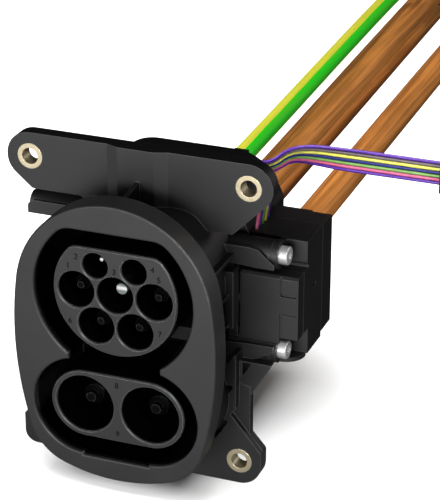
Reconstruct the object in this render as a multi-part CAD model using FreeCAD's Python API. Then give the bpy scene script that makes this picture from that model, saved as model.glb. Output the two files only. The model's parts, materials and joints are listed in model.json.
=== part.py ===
import FreeCAD, Part
import math
import os

# Vehicle charging socket with an alternating-current face above two direct-current contacts.
# Millimetres. +Z is up, the coupler face looks along -Y, and +X is the lock actuator's side.
# The origin lies on the earth contact's axis, in the plane of the mounting flange's front face.

Vec = FreeCAD.Vector

# Contact pattern, pins and the holes round them
CONTACT_PITCH = 16.1
SIGNAL_X = 8.0
SIGNAL_Z = 11.05
DC_SPACING = 27.4
DC_Z = -48.8
POWER_PIN_R = 3.0
SIGNAL_PIN_R = 1.5
DC_PIN_R = 4.0
POWER_HOLE_R = 7.5
SIGNAL_HOLE_R = 5.25
DC_HOLE_R = 12.05

# Inserts that hold the contacts, and the recesses round them
INSERT_LAND = 1.9
AC_INSERT_R = CONTACT_PITCH + POWER_HOLE_R + INSERT_LAND
AC_INSERT_TOP = 18.2
AC_INSERT_CORNER = 6.0
DC_INSERT_R = 14.2
AC_GAP = 7.2
AC_TOP_GAP = 7.8
AC_RECESS_CORNER = 9.0
DC_GAP = 6.3
WAIST_HALF = 19.0
WALL = 3.0
DRAIN_WIDTH = 28.0
DRAIN_DEPTH = 1.0

# Depths along Y
INSERT_FRONT = -23.5
PLATE_LEAD = 2.5
PLATE_THICK = 3.0
RIM_DEPTH = 10.5
RIM_WALL = 2.4
RIM_GAP = 0.1
FLOOR_Y = 19.5
FLOOR_THICK = 3.0
HOLE_DEPTH = 37.5
SPIGOT_LENGTH = 7.5
RETAINER_THICK = 2.5
BOARD_THICK = 1.6
BOARD_RIM = 5.9
SENSOR_X = 14.0
HEADER_HALF = 5.5
POWER_TIP_DEPTH = 6.8
CAP_LENGTH = 3.2
SIGNAL_TIP_DEPTH = 6.6
PILOT_TIP_DEPTH = 12.0
DC_TIP_DEPTH = 9.5
DC_CAP_LENGTH = 3.6

# Front frame outline: a crown, two long sides, two lower corners and a flat bottom arc
CROWN_Z = -3.0
CROWN_R = 40.6
SIDE_R = 150.0
HEEL_X = 15.5
HEEL_Z = -55.2
HEEL_R = 21.4
BASE_R = 68.0

# Mounting flange
FLANGE_THICK = 6.0
UPPER_BOLT_X = 45.0
UPPER_BOLT_Z = 41.6
LOWER_BOLT_X = 41.7
LOWER_BOLT_Z = -75.3
EAR_R = 9.7
LOWER_EAR_R = 10.0
LOWER_EAR_REACH = 9.1
LEFT_EAR_REACH = 10.3
LEFT_EAR_CORNER = 5.2
SHOULDER_RISE = 4.9
BUSH_R = 5.2
BUSH_BORE_R = 3.3
BUSH_PROUD = 0.2
PAD_HALF = 7.5
PAD_BEVEL = 5.0
PAD_RISE = 2.0
POST_INNER = 40.5
POST_OUTER = 45.2
POST_SETBACK = 2.5
POST_FOOT = -52.0
POST_HEAD = -42.0
LATTICE_TOP = -28.7
WEB_TOP = 38.8
LATTICE_SLOPE = 1.5
RIDGE_SLOPE = 1.21
MOUTH_ROUND = 0.8
RIM_CHAMFER = 0.4
RIB = 1.8

# Screw towers for the lock actuator
TOWER_Y = 13.5
TOWER_R = 5.6
UPPER_TOWER_Z = 10.3
LOWER_TOWER_Z = -29.9
BLANK_END = 50.6
GUIDE_STRIP = 3.3
LUG_THICK = 2.5
BLANK_SHIFT = 6.6
BLANK_R = 4.5
SHIELD_THICK = 1.3
SHIELD_GAP = 0.3
UPPER_SHIELD_RISE = 4.3
LOWER_SHIELD_RISE = 2.9
SCREW_R = 1.95
SCREW_HOLE_R = 2.2
SCREW_HEAD_R = 3.7
SCREW_HEAD = 3.6
SCREW_LENGTH = 15.0
SCREW_HEX = 1.5

# Lock actuator housing
CASE_WIDTH = 23.8
COVER_Y = 9.2
COVER_DEPTH = 6.3
STEP_Y = 21.1
CASE_BACK = 37.7
CAP_BACK = 49.8
CASE_TOP = 14.6
CASE_BOTTOM = -34.0
CAP_BOTTOM = -32.0
CAP_STEP = 1.0
PANEL_TOP = 3.1
PANEL_BOTTOM = -25.7
CASE_WALL = 1.8
CASE_GAP = 0.3
SEAM = 0.5
RELIEF_Y = 19.4
RELIEF_LOW = 1.4
CORNER_NOTCH = 2.6
COVER_SPLIT = 7.2
LOBE_R = 7.8
PEEP_R = 1.5

# Lock bolt and its drive
BOLT_Z = -9.8
BOLT_R = 3.0
BOLT_TIP = 31.6
BOLT_GAP = 0.3
BOLT_STROKE = 6.5
SEAL_WALL = 1.5
SEAL_LENGTH = 2.4
GUIDE_WALL = 1.4
GUIDE_SETBACK = 0.9
RACK_MODULE = 0.8
RACK_DEPTH = 1.1
PINION_TEETH = 10
WHEEL_MODULE = 0.6
WHEEL_TEETH = 25
MOTOR_TEETH = 12
WHEEL_Z = -3.5
WHEEL_FACE = 3.0
PINION_FACE = 6.6
AXLE_R = 1.5
SHAFT_R = 1.0
RUNNING = 0.05
BACKLASH = 0.12
MOTOR_R = 5.8
MOTOR_TOP = -6.2

# Rear housings and what leaves them
REAR_R = 40.2
REAR_HALF = 37.8
REAR_TOP = 31.3
REAR_LOW = -30.2
REAR_CORNER = 20.0
REAR_BACK = 61.5
REAR_WALL = 2.4
REAR_SEAT = 3.0
REAR_SKIRT = 2.9
SKIRT_LOW = -24.0
SKIRT_GAP = 0.1
DC_REAR_R = 18.0
DC_REAR_BACK = 52.0
CORE_GAP = 0.3

# Cables: where each leaves its housing, how far it goes and how it rises on the way
EARTH_X = -0.8
EARTH_Z = 3.7
EARTH_CABLE_R = 4.3
EARTH_END = 338.0
EARTH_RISE = 0.038
AC_CABLE_X = 2.0
AC_CABLE_Z = -15.8
AC_END = 407.0
AC_RISE = 0.034
POWER_CABLE_R = 7.0
DC_CABLE_RAISED = 3.0
LEFT_DC_END = 498.0
LEFT_DC_RISE = 0.028
RIGHT_DC_END = 405.0
RIGHT_DC_RISE = 0.022
CABLE_LEVEL = 30.0
CABLE_SLIP = 0.2
GLAND_WALL = 2.3
GLAND_LENGTH = 12.0
EARTH_GLAND_LENGTH = 8.0
LUG_PALM = 3.0
EARTH_STUD_R = 3.2
DC_STUD_R = 4.2

# Signal leads
LEAD_R = 0.7
LEAD_PITCH = 1.45
LEAD_COUNT = 7
LEAD_X = 18.0
LEAD_Z = 22.4
LEAD_SLIP = 0.1
GROMMET_LENGTH = 3.0
ACTUATOR_LEADS = 5
ACTUATOR_LEAD_PITCH = 3.1
ACTUATOR_LEAD_ENTRY = 3.2

# Values that follow from the sizes above
PLATE_FRONT = INSERT_FRONT - PLATE_LEAD
PLATE_BACK = PLATE_FRONT + PLATE_THICK
RIM_BACK = PLATE_FRONT + RIM_DEPTH
TUB_BACK = FLOOR_Y + FLOOR_THICK
SPIGOT_BACK = FLOOR_Y + SPIGOT_LENGTH
SEAL_R = BOLT_R + BOLT_GAP + SEAL_WALL
RETAINER_BACK = SPIGOT_BACK + RETAINER_THICK
HOLE_END = INSERT_FRONT + HOLE_DEPTH
AC_RECESS_R = AC_INSERT_R + AC_GAP
AC_RECESS_TOP = AC_INSERT_TOP + AC_TOP_GAP
DC_RECESS_R = DC_INSERT_R + DC_GAP
DC_HALF = DC_SPACING / 2
LOWER_ROW = -CONTACT_PITCH * math.sin(math.pi / 3)
CASE_LEFT = REAR_HALF + 0.4
CASE_RIGHT = CASE_LEFT + CASE_WIDTH
TOWER_END = CASE_LEFT + 12.6
WHEEL_X = CASE_LEFT + 11.8
BOLT_END = WHEEL_X + 8.5
COVER_BACK = COVER_Y + COVER_DEPTH
DC_CABLE_Z = DC_Z + DC_CABLE_RAISED
RACK_PITCH_Y = TOWER_Y + BOLT_R - RACK_DEPTH
PINION_R = RACK_MODULE * PINION_TEETH / 2
WHEEL_R = WHEEL_MODULE * WHEEL_TEETH / 2
WHEEL_Y = RACK_PITCH_Y + PINION_R
MOTOR_Y = WHEEL_Y + WHEEL_R + WHEEL_MODULE * MOTOR_TEETH / 2
PINION_TOP = WHEEL_Z
PINION_LOW = BOLT_Z - PINION_FACE / 2


# Basic solids
def box(x0, x1, y0, y1, z0, z1):
    return Part.makeBox(x1 - x0, y1 - y0, z1 - z0, Vec(x0, y0, z0))


def rod_x(x0, x1, y, z, r):
    return Part.makeCylinder(r, x1 - x0, Vec(x0, y, z), Vec(1, 0, 0))


def rod_y(x, z, y0, y1, r):
    return Part.makeCylinder(r, y1 - y0, Vec(x, y0, z), Vec(0, 1, 0))


def rod_z(x, y, z0, z1, r):
    return Part.makeCylinder(r, z1 - z0, Vec(x, y, z0), Vec(0, 0, 1))


def join(shapes):
    first, rest = shapes[0], shapes[1:]
    return first.fuse(rest).removeSplitter() if rest else first


def cut(shape, tools):
    return shape.cut(tools).removeSplitter()


def mirror_x(shape):
    return shape.mirror(Vec(0, 0, 0), Vec(1, 0, 0))


def along_y(wire, y0, y1):
    """Extrude a closed wire drawn in the XZ plane from y0 to y1."""
    face = Part.Face(wire)
    face.translate(Vec(0, y0, 0))
    return face.extrude(Vec(0, y1 - y0, 0))


def polygon(points, plane, start, end):
    """Extrude straight-sided points: plane 'xz' goes along Y, 'yz' along X and 'xy' along Z."""
    place = {
        "xz": lambda a, b: Vec(a, start, b),
        "yz": lambda a, b: Vec(start, a, b),
        "xy": lambda a, b: Vec(a, b, start),
    }[plane]
    way = {"xz": Vec(0, 1, 0), "yz": Vec(1, 0, 0), "xy": Vec(0, 0, 1)}[plane]
    corners = [place(a, b) for a, b in points]
    face = Part.Face(Part.makePolygon(corners + corners[:1]))
    return face.extrude(way * (end - start))


def rounded_outline(corners):
    """A closed XZ wire through (x, z, radius) corners, each rounded by a tangent arc."""
    edges = []
    count = len(corners)
    starts, ends, middles = [], [], []
    for i, (x, z, radius) in enumerate(corners):
        here = Vec(x, 0, z)
        before = Vec(corners[i - 1][0], 0, corners[i - 1][1])
        after = Vec(corners[(i + 1) % count][0], 0, corners[(i + 1) % count][1])
        inward = (before - here).normalize()
        outward = (after - here).normalize()
        half = inward.getAngle(outward) / 2
        reach = radius / math.tan(half)
        bisector = (inward + outward).normalize()
        centre = here + bisector * (radius / math.sin(half))
        starts.append(here + inward * reach)
        ends.append(here + outward * reach)
        middles.append(centre - bisector * radius)
    for i in range(count):
        if corners[i][2] > 0:
            edges.append(Part.Arc(starts[i], middles[i], ends[i]).toShape())
        edges.append(Part.makeLine(ends[i], starts[(i + 1) % count]))
    return Part.Wire(edges)


def flat_top_round(radius, top, corner):
    """A circle about the origin, cut by a flat at the top with rounded corners."""
    corner_z = top - corner
    corner_x = math.sqrt((radius - corner) ** 2 - corner_z ** 2)
    scale = radius / (radius - corner)
    side = Vec(corner_x * scale, 0, corner_z * scale)
    lean = math.atan2(corner_z, corner_x) / 2 + math.pi / 4
    middle = Vec(corner_x + corner * math.cos(lean), 0, corner_z + corner * math.sin(lean))
    flip = lambda p: Vec(-p.x, 0, p.z)
    flat = Vec(corner_x, 0, top)
    return Part.Wire([
        Part.makeLine(flip(flat), flat),
        Part.Arc(flat, middle, side).toShape(),
        Part.Arc(side, Vec(0, 0, -radius), flip(side)).toShape(),
        Part.Arc(flip(side), flip(middle), flip(flat)).toShape(),
    ])


def half_circle(x, radius, z, way):
    reach = way * radius
    return Part.Arc(Vec(x, 0, z + reach), Vec(x + reach, 0, z), Vec(x, 0, z - reach)).toShape()


def stadium(half, radius, z):
    """Two half circles about (+-half, z), joined by straight lines."""
    return Part.Wire([
        Part.makeLine(Vec(-half, 0, z + radius), Vec(half, 0, z + radius)),
        half_circle(half, radius, z, 1),
        Part.makeLine(Vec(half, 0, z - radius), Vec(-half, 0, z - radius)),
        half_circle(-half, radius, z, -1),
    ])


def inner_tangent_centre(centre_a, radius_a, centre_b, radius_b, radius):
    """Centre, on the left of both, of the large circle that touches two small ones from outside."""
    reach_a = radius - radius_a
    reach_b = radius - radius_b
    step = centre_b - centre_a
    apart = step.Length
    along = (reach_a ** 2 - reach_b ** 2 + apart ** 2) / (2 * apart)
    across = math.sqrt(reach_a ** 2 - along ** 2)
    unit = step / apart
    side = Vec(unit.z, 0, -unit.x)
    if side.x > 0:
        side = side * -1
    return centre_a + unit * along + side * across


def frame_outline(shrink):
    """The front frame's outline, offset inward by shrink: every arc keeps its centre."""
    crown = Vec(0, 0, CROWN_Z)
    heel = Vec(HEEL_X, 0, HEEL_Z)
    side = inner_tangent_centre(crown, CROWN_R, heel, HEEL_R, SIDE_R)
    base = Vec(0, 0, HEEL_Z + math.sqrt((BASE_R - HEEL_R) ** 2 - HEEL_X ** 2))

    def on(centre, radius, through):
        return centre + (through - centre).normalize() * radius

    crown_end = on(crown, CROWN_R - shrink, crown * 2 - side)
    heel_start = on(heel, HEEL_R - shrink, heel * 2 - side)
    heel_end = on(heel, HEEL_R - shrink, heel * 2 - base)
    middle = (crown_end + heel_start) * 0.5
    side_mid = on(side, SIDE_R - shrink, middle)
    heel_mid = on(heel, HEEL_R - shrink, (heel_start + heel_end) * 0.5)
    flip = lambda p: Vec(-p.x, 0, p.z)
    low = Vec(0, 0, base.z - BASE_R + shrink)
    top = Vec(0, 0, CROWN_Z + CROWN_R - shrink)
    return Part.Wire([
        Part.Arc(flip(crown_end), top, crown_end).toShape(),
        Part.Arc(crown_end, side_mid, heel_start).toShape(),
        Part.Arc(heel_start, heel_mid, heel_end).toShape(),
        Part.Arc(heel_end, low, flip(heel_end)).toShape(),
        Part.Arc(flip(heel_end), flip(heel_mid), flip(heel_start)).toShape(),
        Part.Arc(flip(heel_start), flip(side_mid), flip(crown_end)).toShape(),
    ])


def tunnel(grow, y0, y1):
    """The coupler opening, grown outward: the round recess, the stadium recess and their waist."""
    upper = flat_top_round(AC_RECESS_R + grow, AC_RECESS_TOP + grow, AC_RECESS_CORNER + grow)
    lower = stadium(DC_HALF, DC_RECESS_R + grow, DC_Z)
    half = WAIST_HALF + grow
    waist = box(-half, half, y0, y1, DC_Z, 0)
    return join([along_y(upper, y0, y1), along_y(lower, y0, y1), waist])


def drain(y0, y1):
    bottom = DC_Z - DC_RECESS_R
    return box(-DRAIN_WIDTH / 2, DRAIN_WIDTH / 2, y0, y1, bottom - DRAIN_DEPTH, bottom + 1)


def front_edges(shape, y):
    """Edges that lie wholly in the plane at y."""
    flat = 1e-4
    return [e for e in shape.Edges if abs(e.BoundBox.YMin - y) < flat and abs(e.BoundBox.YMax - y) < flat]


# Front frame
def make_face_frame():
    skirt = along_y(frame_outline(0), PLATE_FRONT, RIM_BACK)
    hollow = along_y(frame_outline(RIM_WALL), PLATE_BACK, RIM_BACK + 1)
    mouth = tunnel(0, PLATE_FRONT - 1, RIM_BACK + 1)
    plate = cut(skirt, [hollow, mouth, drain(PLATE_FRONT - 1, PLATE_BACK + 1)])
    return plate.makeFillet(MOUTH_ROUND, front_edges(plate, PLATE_FRONT))


# Main housing: neck, floor, flange, towers and ribs moulded as one piece
def flange_upper():
    left_foot = -UPPER_BOLT_X + 0.5
    low = AC_RECESS_TOP + WALL - 0.8
    top = UPPER_BOLT_Z + EAR_R
    right = UPPER_BOLT_X + EAR_R
    right_low = UPPER_BOLT_Z - 3.6
    left_low = UPPER_BOLT_Z - 4.8
    slant = 16.2
    outline = rounded_outline([
        (-right, top, EAR_R), (right, top, EAR_R), (right, right_low, EAR_R - 1.5),
        (right - slant, right_low - slant, 0), (AC_RECESS_R - 6, right_low - slant, 0),
        (0, 0, 0), (-AC_RECESS_R + 9, low, 0), (left_foot, low, 2.0), (-right, left_low, EAR_R - 0.4),
    ])
    return along_y(outline, 0, FLANGE_THICK)


def flange_lower():
    """Both lower ears and the bridge between them, stepped back above the ridge at each post's foot."""
    low = LOWER_BOLT_Z - LOWER_EAR_R
    shoulder = LOWER_BOLT_Z + SHOULDER_RISE
    inner_x = POST_INNER - 4

    def side(reach, corner):
        ear_x = LOWER_BOLT_X + reach
        return [(ear_x, low, corner), (ear_x, shoulder, 2.0), (POST_OUTER, shoulder + 6.3, 1.0),
                (POST_OUTER, POST_FOOT, 0), (inner_x, POST_FOOT, 0), (inner_x, DC_Z, 0)]

    right = side(LOWER_EAR_REACH, LOWER_EAR_REACH)
    left = side(LEFT_EAR_REACH, LEFT_EAR_CORNER)
    ears = along_y(rounded_outline(right + [(-x, z, r) for x, z, r in reversed(left)]), 0, FLANGE_THICK)
    ridge_x = POST_INNER - 2.6
    far_x = POST_OUTER + 14
    ridge_z = POST_FOOT - 3.3
    step = polygon([
        (POST_INNER, POST_FOOT), (ridge_x, ridge_z), (far_x, ridge_z - RIDGE_SLOPE * (far_x - ridge_x)),
        (far_x, POST_FOOT + 1), (POST_INNER, POST_FOOT + 1),
    ], "xz", -1, POST_SETBACK)
    return cut(ears, [step, mirror_x(step)])


def post():
    """The upright between a lower ear and the brace, set back from the flange's front."""
    return polygon([
        (POST_INNER - 1, POST_FOOT - 1), (POST_OUTER, POST_FOOT - 1), (POST_OUTER, POST_HEAD - 1.3),
        (POST_INNER - 1, POST_HEAD),
    ], "xz", POST_SETBACK, FLANGE_THICK)


def brace():
    """The slanting plate from the right post out to the lower screw tower, with a three-sided window."""
    top = LOWER_TOWER_Z - 2.7
    foot = top - 15.9
    front = POST_SETBACK + 0.6
    back = TOWER_Y - TOWER_R - SHIELD_GAP
    plate = polygon([
        (TOWER_END + 2.8, top), (POST_OUTER - 0.9, foot), (POST_INNER, foot), (POST_INNER, top),
    ], "xz", front, back)
    side = POST_INNER + 1.1
    high = top - 0.5
    window = polygon([(side, top - 6.6), (side, high), (side + 4.2, high)], "xz", front - 1, back + 1)
    return plate.cut(window)


def lattice():
    """The web between neck and post: an upright lip on its edge, and three windows with slanting sides."""
    inner = DC_HALF + DC_RECESS_R - 4
    web = box(inner, POST_INNER, 0, FLANGE_THICK, POST_FOOT, LATTICE_TOP)
    lip = box(POST_INNER - 0.9, POST_INNER, -0.8, 1, POST_FOOT + 0.3, LATTICE_TOP)
    return join([web, lip])


def side_rails():
    """Upright strips beside the neck, and level struts from them to the front frame's rim."""
    outer = AC_RECESS_R + WALL + 3.2
    strip = box(outer - GUIDE_STRIP, outer, 0, FLANGE_THICK, PANEL_BOTTOM + 8.1, PANEL_TOP + 3.0)
    rails = [strip]
    for z in (UPPER_TOWER_Z + 0.3, UPPER_TOWER_Z - 14.6, UPPER_TOWER_Z - 27.0):
        rails.append(box(outer - 7, outer - 2, RIM_BACK, FLANGE_THICK, z - RIB / 3, z + RIB / 3))
    return rails


def lattice_windows():
    """The three openings of the lattice, each below a slanting edge that falls towards the neck."""
    windows = []
    for top, right, height in ((LATTICE_TOP + 1, POST_INNER - 1.2, 1.7), (-42.6, POST_INNER - 1.6, 0.9),
                               (-58.3, POST_INNER - 3.7, 1.0)):
        left = POST_INNER - 9.5
        fall = LATTICE_SLOPE * (right - left)
        if top > LATTICE_TOP:
            points = [(left, top), (right, top), (right, top - height), (left, top - height - fall)]
        else:
            shelf = right - 2.8
            high = top - LATTICE_SLOPE * (shelf - left)
            points = [(left, high), (shelf, top), (right, top), (right, top - height),
                      (left, top - height - fall)]
        windows.append(polygon(points, "xz", -2, FLANGE_THICK + 1))
    return windows


def flange_pad():
    base = PAD_HALF + PAD_BEVEL
    return polygon([(-base, 0), (-PAD_HALF, -PAD_RISE), (PAD_HALF, -PAD_RISE), (base, 0)],
                   "xy", AC_RECESS_TOP, UPPER_BOLT_Z + EAR_R)


def side_tower(end, z, rise):
    """One screw tower on the right, with the shield plate in front of it."""
    way = 1 if z > BOLT_Z else -1
    inner = AC_RECESS_R - 6
    tip = end + LUG_THICK - 0.3
    crown = z + way * rise
    foot = z - way * 3.7
    shield = [(inner, crown), (end - 7.8, crown), (end - 4.3, crown - way * 0.6), (tip, z - way * 1.8),
              (tip, foot), (end - 6, foot), (inner, foot + way * 1.2)]
    return tower_with_shield(end, z, TOWER_R, shield)


def blank_tower(z):
    """The undrilled tower of the other side, set further out, with a narrow shield."""
    way = 1 if z > BOLT_Z else -1
    centre = z + BLANK_SHIFT
    inner = AC_RECESS_R - 6
    tip = BLANK_END - 0.5
    crown = centre + way * 3.2
    foot = centre - way * 2.3
    shield = [(inner, crown), (tip - 2.6, crown), (tip, crown - way * 2.4), (tip, foot), (inner, foot)]
    return mirror_x(tower_with_shield(BLANK_END, centre, BLANK_R, shield))


def tower_with_shield(end, z, radius, shield):
    tower = rod_x(AC_RECESS_R - 8, end, TOWER_Y, z, radius)
    plate_back = TOWER_Y - TOWER_R - SHIELD_GAP
    plate = polygon(shield, "xz", plate_back - SHIELD_THICK, plate_back)
    web = box(AC_RECESS_R - 6, end, plate_back - 0.1, TOWER_Y, z - RIB / 2, z + RIB / 2)
    return join([tower, plate, web])


def bolt_guide():
    """The block between the towers that guides the lock bolt, with a boss round its seal."""
    end = CASE_LEFT - GUIDE_SETBACK
    back = TOWER_Y + TOWER_R - 1
    start = AC_RECESS_R - 8
    block = box(start, end, COVER_Y, back, LOWER_TOWER_Z + TOWER_R - 1, UPPER_TOWER_Z - TOWER_R + 1)
    boss = rod_x(start, end, TOWER_Y, BOLT_Z, SEAL_R + GUIDE_WALL)
    boss = boss.common(box(0, end, 0, back, BOLT_Z - TOWER_Y, BOLT_Z + TOWER_Y))
    return join([block, boss])


def make_main_housing():
    neck = tunnel(WALL, PLATE_BACK, TUB_BACK)
    towers = [side_tower(TOWER_END, UPPER_TOWER_Z, UPPER_SHIELD_RISE),
              side_tower(TOWER_END, LOWER_TOWER_Z, LOWER_SHIELD_RISE),
              bolt_guide(), blank_tower(UPPER_TOWER_Z), blank_tower(LOWER_TOWER_Z)]
    windows = lattice_windows()
    right_lattice = lattice()
    sheet = cut(join([flange_lower(), right_lattice, mirror_x(right_lattice)]),
                windows + [mirror_x(w) for w in windows])
    right_post = post()
    web = polygon([(RIM_BACK, AC_RECESS_TOP), (RIM_BACK, CROWN_Z + CROWN_R - 1.2), (1, WEB_TOP),
                   (1, AC_RECESS_TOP)], "yz", -0.2, 1.6)
    rails = side_rails()
    body = join([neck, flange_upper(), sheet, flange_pad(), web, right_post, mirror_x(right_post), brace()]
                + towers + rails + [mirror_x(r) for r in rails])
    inner = tunnel(0, PLATE_FRONT, FLOOR_Y)
    clear = 0.3
    ahead = PLATE_FRONT - 5
    in_frame = tunnel(WALL, ahead, RIM_BACK)
    in_frame = in_frame.common(along_y(frame_outline(RIM_WALL + RIM_GAP), ahead, RIM_BACK))
    front_room = along_y(frame_outline(-5), ahead, RIM_BACK).cut(in_frame)
    case_room = box(CASE_LEFT - CASE_GAP, CASE_RIGHT, COVER_Y - CASE_GAP, STEP_Y + 1,
                    PANEL_BOTTOM - CASE_GAP, PANEL_TOP + CASE_GAP)
    ear_rooms = [rod_x(TOWER_END, TOWER_END + LUG_THICK + 2, TOWER_Y, z, TOWER_R + CASE_GAP)
                 for z in (UPPER_TOWER_Z, LOWER_TOWER_Z)]
    ac_seat = rod_y(0, 0, FLOOR_Y - 1, TUB_BACK + 1, AC_INSERT_R - 2 + clear)
    dc_seat = along_y(stadium(DC_HALF, DC_INSERT_R - 1.5 + clear, DC_Z), FLOOR_Y - 1, TUB_BACK + 1)
    holes = [rod_x(AC_RECESS_R - 4, TOWER_END + 1, TOWER_Y, z, SCREW_R + RUNNING)
             for z in (UPPER_TOWER_Z, LOWER_TOWER_Z)]
    bore = rod_x(AC_RECESS_R - 12, CASE_LEFT, TOWER_Y, BOLT_Z, BOLT_R + BOLT_GAP)
    seal_seat = rod_x(CASE_LEFT - GUIDE_SETBACK - SEAL_LENGTH, CASE_LEFT, TOWER_Y, BOLT_Z, SEAL_R)
    bushes = [rod_y(x, z, -PAD_RISE - 1, FLANGE_THICK + 1, BUSH_R) for x, z in bolt_places()]
    body = cut(body, [inner, drain(PLATE_FRONT, FLOOR_Y), front_room, ac_seat, dc_seat, bore, seal_seat,
                      case_room] + ear_rooms + holes + bushes)
    ledge_top = BOLT_Z - BOLT_R + 1.3
    ledge_front = INSERT_FRONT + 6.6
    ledge = box(AC_INSERT_R - 6, AC_RECESS_R + 1, ledge_front, FLOOR_Y, ledge_top - 5.5, ledge_top)
    ring = rod_y(0, 0, INSERT_FRONT, FLOOR_Y, AC_RECESS_R + WALL / 2)
    ring = ring.cut(rod_y(0, 0, INSERT_FRONT, FLOOR_Y, AC_INSERT_R + clear))
    return join([body, ledge.common(ring).cut(bore)])


def bolt_places():
    return [(-UPPER_BOLT_X, UPPER_BOLT_Z), (UPPER_BOLT_X, UPPER_BOLT_Z),
            (-LOWER_BOLT_X, LOWER_BOLT_Z), (LOWER_BOLT_X, LOWER_BOLT_Z)]


def make_bushings():
    bushes = []
    for x, z in bolt_places():
        outer = rod_y(x, z, -BUSH_PROUD, FLANGE_THICK + BUSH_PROUD, BUSH_R)
        bushes.append(outer.cut(rod_y(x, z, -1, FLANGE_THICK + 1, BUSH_BORE_R)))
    return Part.makeCompound(bushes)


# Contacts and the inserts that hold them
def contact_places():
    half = CONTACT_PITCH / 2
    return {
        "contact_line_one": (-CONTACT_PITCH, 0),
        "contact_earth": (0, 0),
        "contact_neutral": (CONTACT_PITCH, 0),
        "contact_line_two": (-half, LOWER_ROW),
        "contact_line_three": (half, LOWER_ROW),
    }


def signal_places():
    return {"contact_proximity": (-SIGNAL_X, SIGNAL_Z), "contact_pilot": (SIGNAL_X, SIGNAL_Z)}


def dc_places():
    return {"contact_dc_plus": (-DC_HALF, DC_Z), "contact_dc_minus": (DC_HALF, DC_Z)}


def turned(x, z, steps):
    """A turned piece about the Y line at (x, z) from (y, radius) steps, closed on its axis."""
    points = [Vec(x, steps[0][0], z)] + [Vec(x + r, y, z) for y, r in steps] + [Vec(x, steps[-1][0], z)]
    face = Part.Face(Part.makePolygon(points + points[:1]))
    return face.revolve(Vec(x, 0, z), Vec(0, 1, 0), 360)


def contact(x, z, pin_r, tip, collar_r, barrel_r, barrel_end):
    """A turned pin: the bare part, its thicker root in the insert, a collar and a crimp barrel."""
    root_r = pin_r + ROOT_STEP
    body = turned(x, z, [
        (tip, pin_r - 0.8), (tip + 0.8, pin_r), (HOLE_END, pin_r), (HOLE_END, root_r),
        (COLLAR_START, root_r), (COLLAR_START, collar_r), (SPIGOT_BACK, collar_r),
        (SPIGOT_BACK, barrel_r), (barrel_end, barrel_r),
    ])
    return body.cut(rod_y(x, z, barrel_end - CRIMP_DEPTH, barrel_end + 1, barrel_r * 0.7))


ROOT_STEP = 0.3
COLLAR_START = SPIGOT_BACK - 6.0
CRIMP_DEPTH = 9.0
BARREL_GAP = 0.3
POWER_COLLAR_R = POWER_PIN_R + 2.0
POWER_BARREL_R = POWER_PIN_R + 1.2
SIGNAL_COLLAR_R = SIGNAL_PIN_R + 1.4
SIGNAL_BARREL_R = SIGNAL_PIN_R + 0.5
DC_COLLAR_R = DC_PIN_R + 3.0
DC_BARREL_R = DC_PIN_R + 2.4
BARREL_END = RETAINER_BACK + 12.5
DC_BARREL_END = RETAINER_BACK + 14.0


def power_tip(name):
    """The bare earth pin starts at the tip; the capped pins start behind their cap."""
    start = INSERT_FRONT + POWER_TIP_DEPTH
    return start if name == "contact_earth" else start - 2.3 + CAP_LENGTH


def make_contacts():
    made = {}
    for name, (x, z) in contact_places().items():
        made[name] = contact(x, z, POWER_PIN_R, power_tip(name), POWER_COLLAR_R, POWER_BARREL_R, BARREL_END)
    for name, (x, z) in signal_places().items():
        deep = PILOT_TIP_DEPTH if name == "contact_pilot" else SIGNAL_TIP_DEPTH
        made[name] = contact(x, z, SIGNAL_PIN_R, INSERT_FRONT + deep, SIGNAL_COLLAR_R, SIGNAL_BARREL_R,
                             BARREL_END)
    for name, (x, z) in dc_places().items():
        made[name] = contact(x, z, DC_PIN_R, INSERT_FRONT + DC_TIP_DEPTH, DC_COLLAR_R, DC_BARREL_R,
                             DC_BARREL_END)
    return made


def touch_cap(x, z, pin_r, pin_start, length):
    """A moulded cap with a small nib that keeps fingers off a live pin."""
    nib = pin_r * 0.55
    front = pin_start - length
    return turned(x, z, [(front, nib - 0.3), (front + 0.4, nib), (front + length * 0.5, nib + 0.2),
                         (pin_start - 0.5, pin_r - 0.1), (pin_start, pin_r - 0.1)])


def make_caps():
    ac = [touch_cap(x, z, POWER_PIN_R, power_tip(n), CAP_LENGTH)
          for n, (x, z) in contact_places().items() if n != "contact_earth"]
    dc_start = INSERT_FRONT + DC_TIP_DEPTH
    dc = [touch_cap(x, z, DC_PIN_R, dc_start, DC_CAP_LENGTH) for x, z in dc_places().values()]
    return Part.makeCompound(ac), Part.makeCompound(dc)


def open_holes(places, hole_r):
    """The open hole round each pin."""
    return [rod_y(x, z, INSERT_FRONT - 1, HOLE_END + 1, hole_r) for x, z in places.values()]


def pin_bores(places, pin_r, collar_r):
    """The close bore of each pin and the seat of its collar."""
    cuts = []
    for x, z in places.values():
        cuts.append(rod_y(x, z, HOLE_END - 1, SPIGOT_BACK + 1, pin_r + ROOT_STEP + RUNNING))
        cuts.append(rod_y(x, z, COLLAR_START, SPIGOT_BACK + 1, collar_r + RUNNING))
    return cuts


def make_ac_insert():
    """The front block, open right through, that stands on the insert's base."""
    block = along_y(flat_top_round(AC_INSERT_R, AC_INSERT_TOP, AC_INSERT_CORNER), INSERT_FRONT, HOLE_END)
    holes = open_holes(contact_places(), POWER_HOLE_R) + open_holes(signal_places(), SIGNAL_HOLE_R)
    block = cut(block, holes)
    return block.makeChamfer(RIM_CHAMFER, front_edges(block, INSERT_FRONT))


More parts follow.
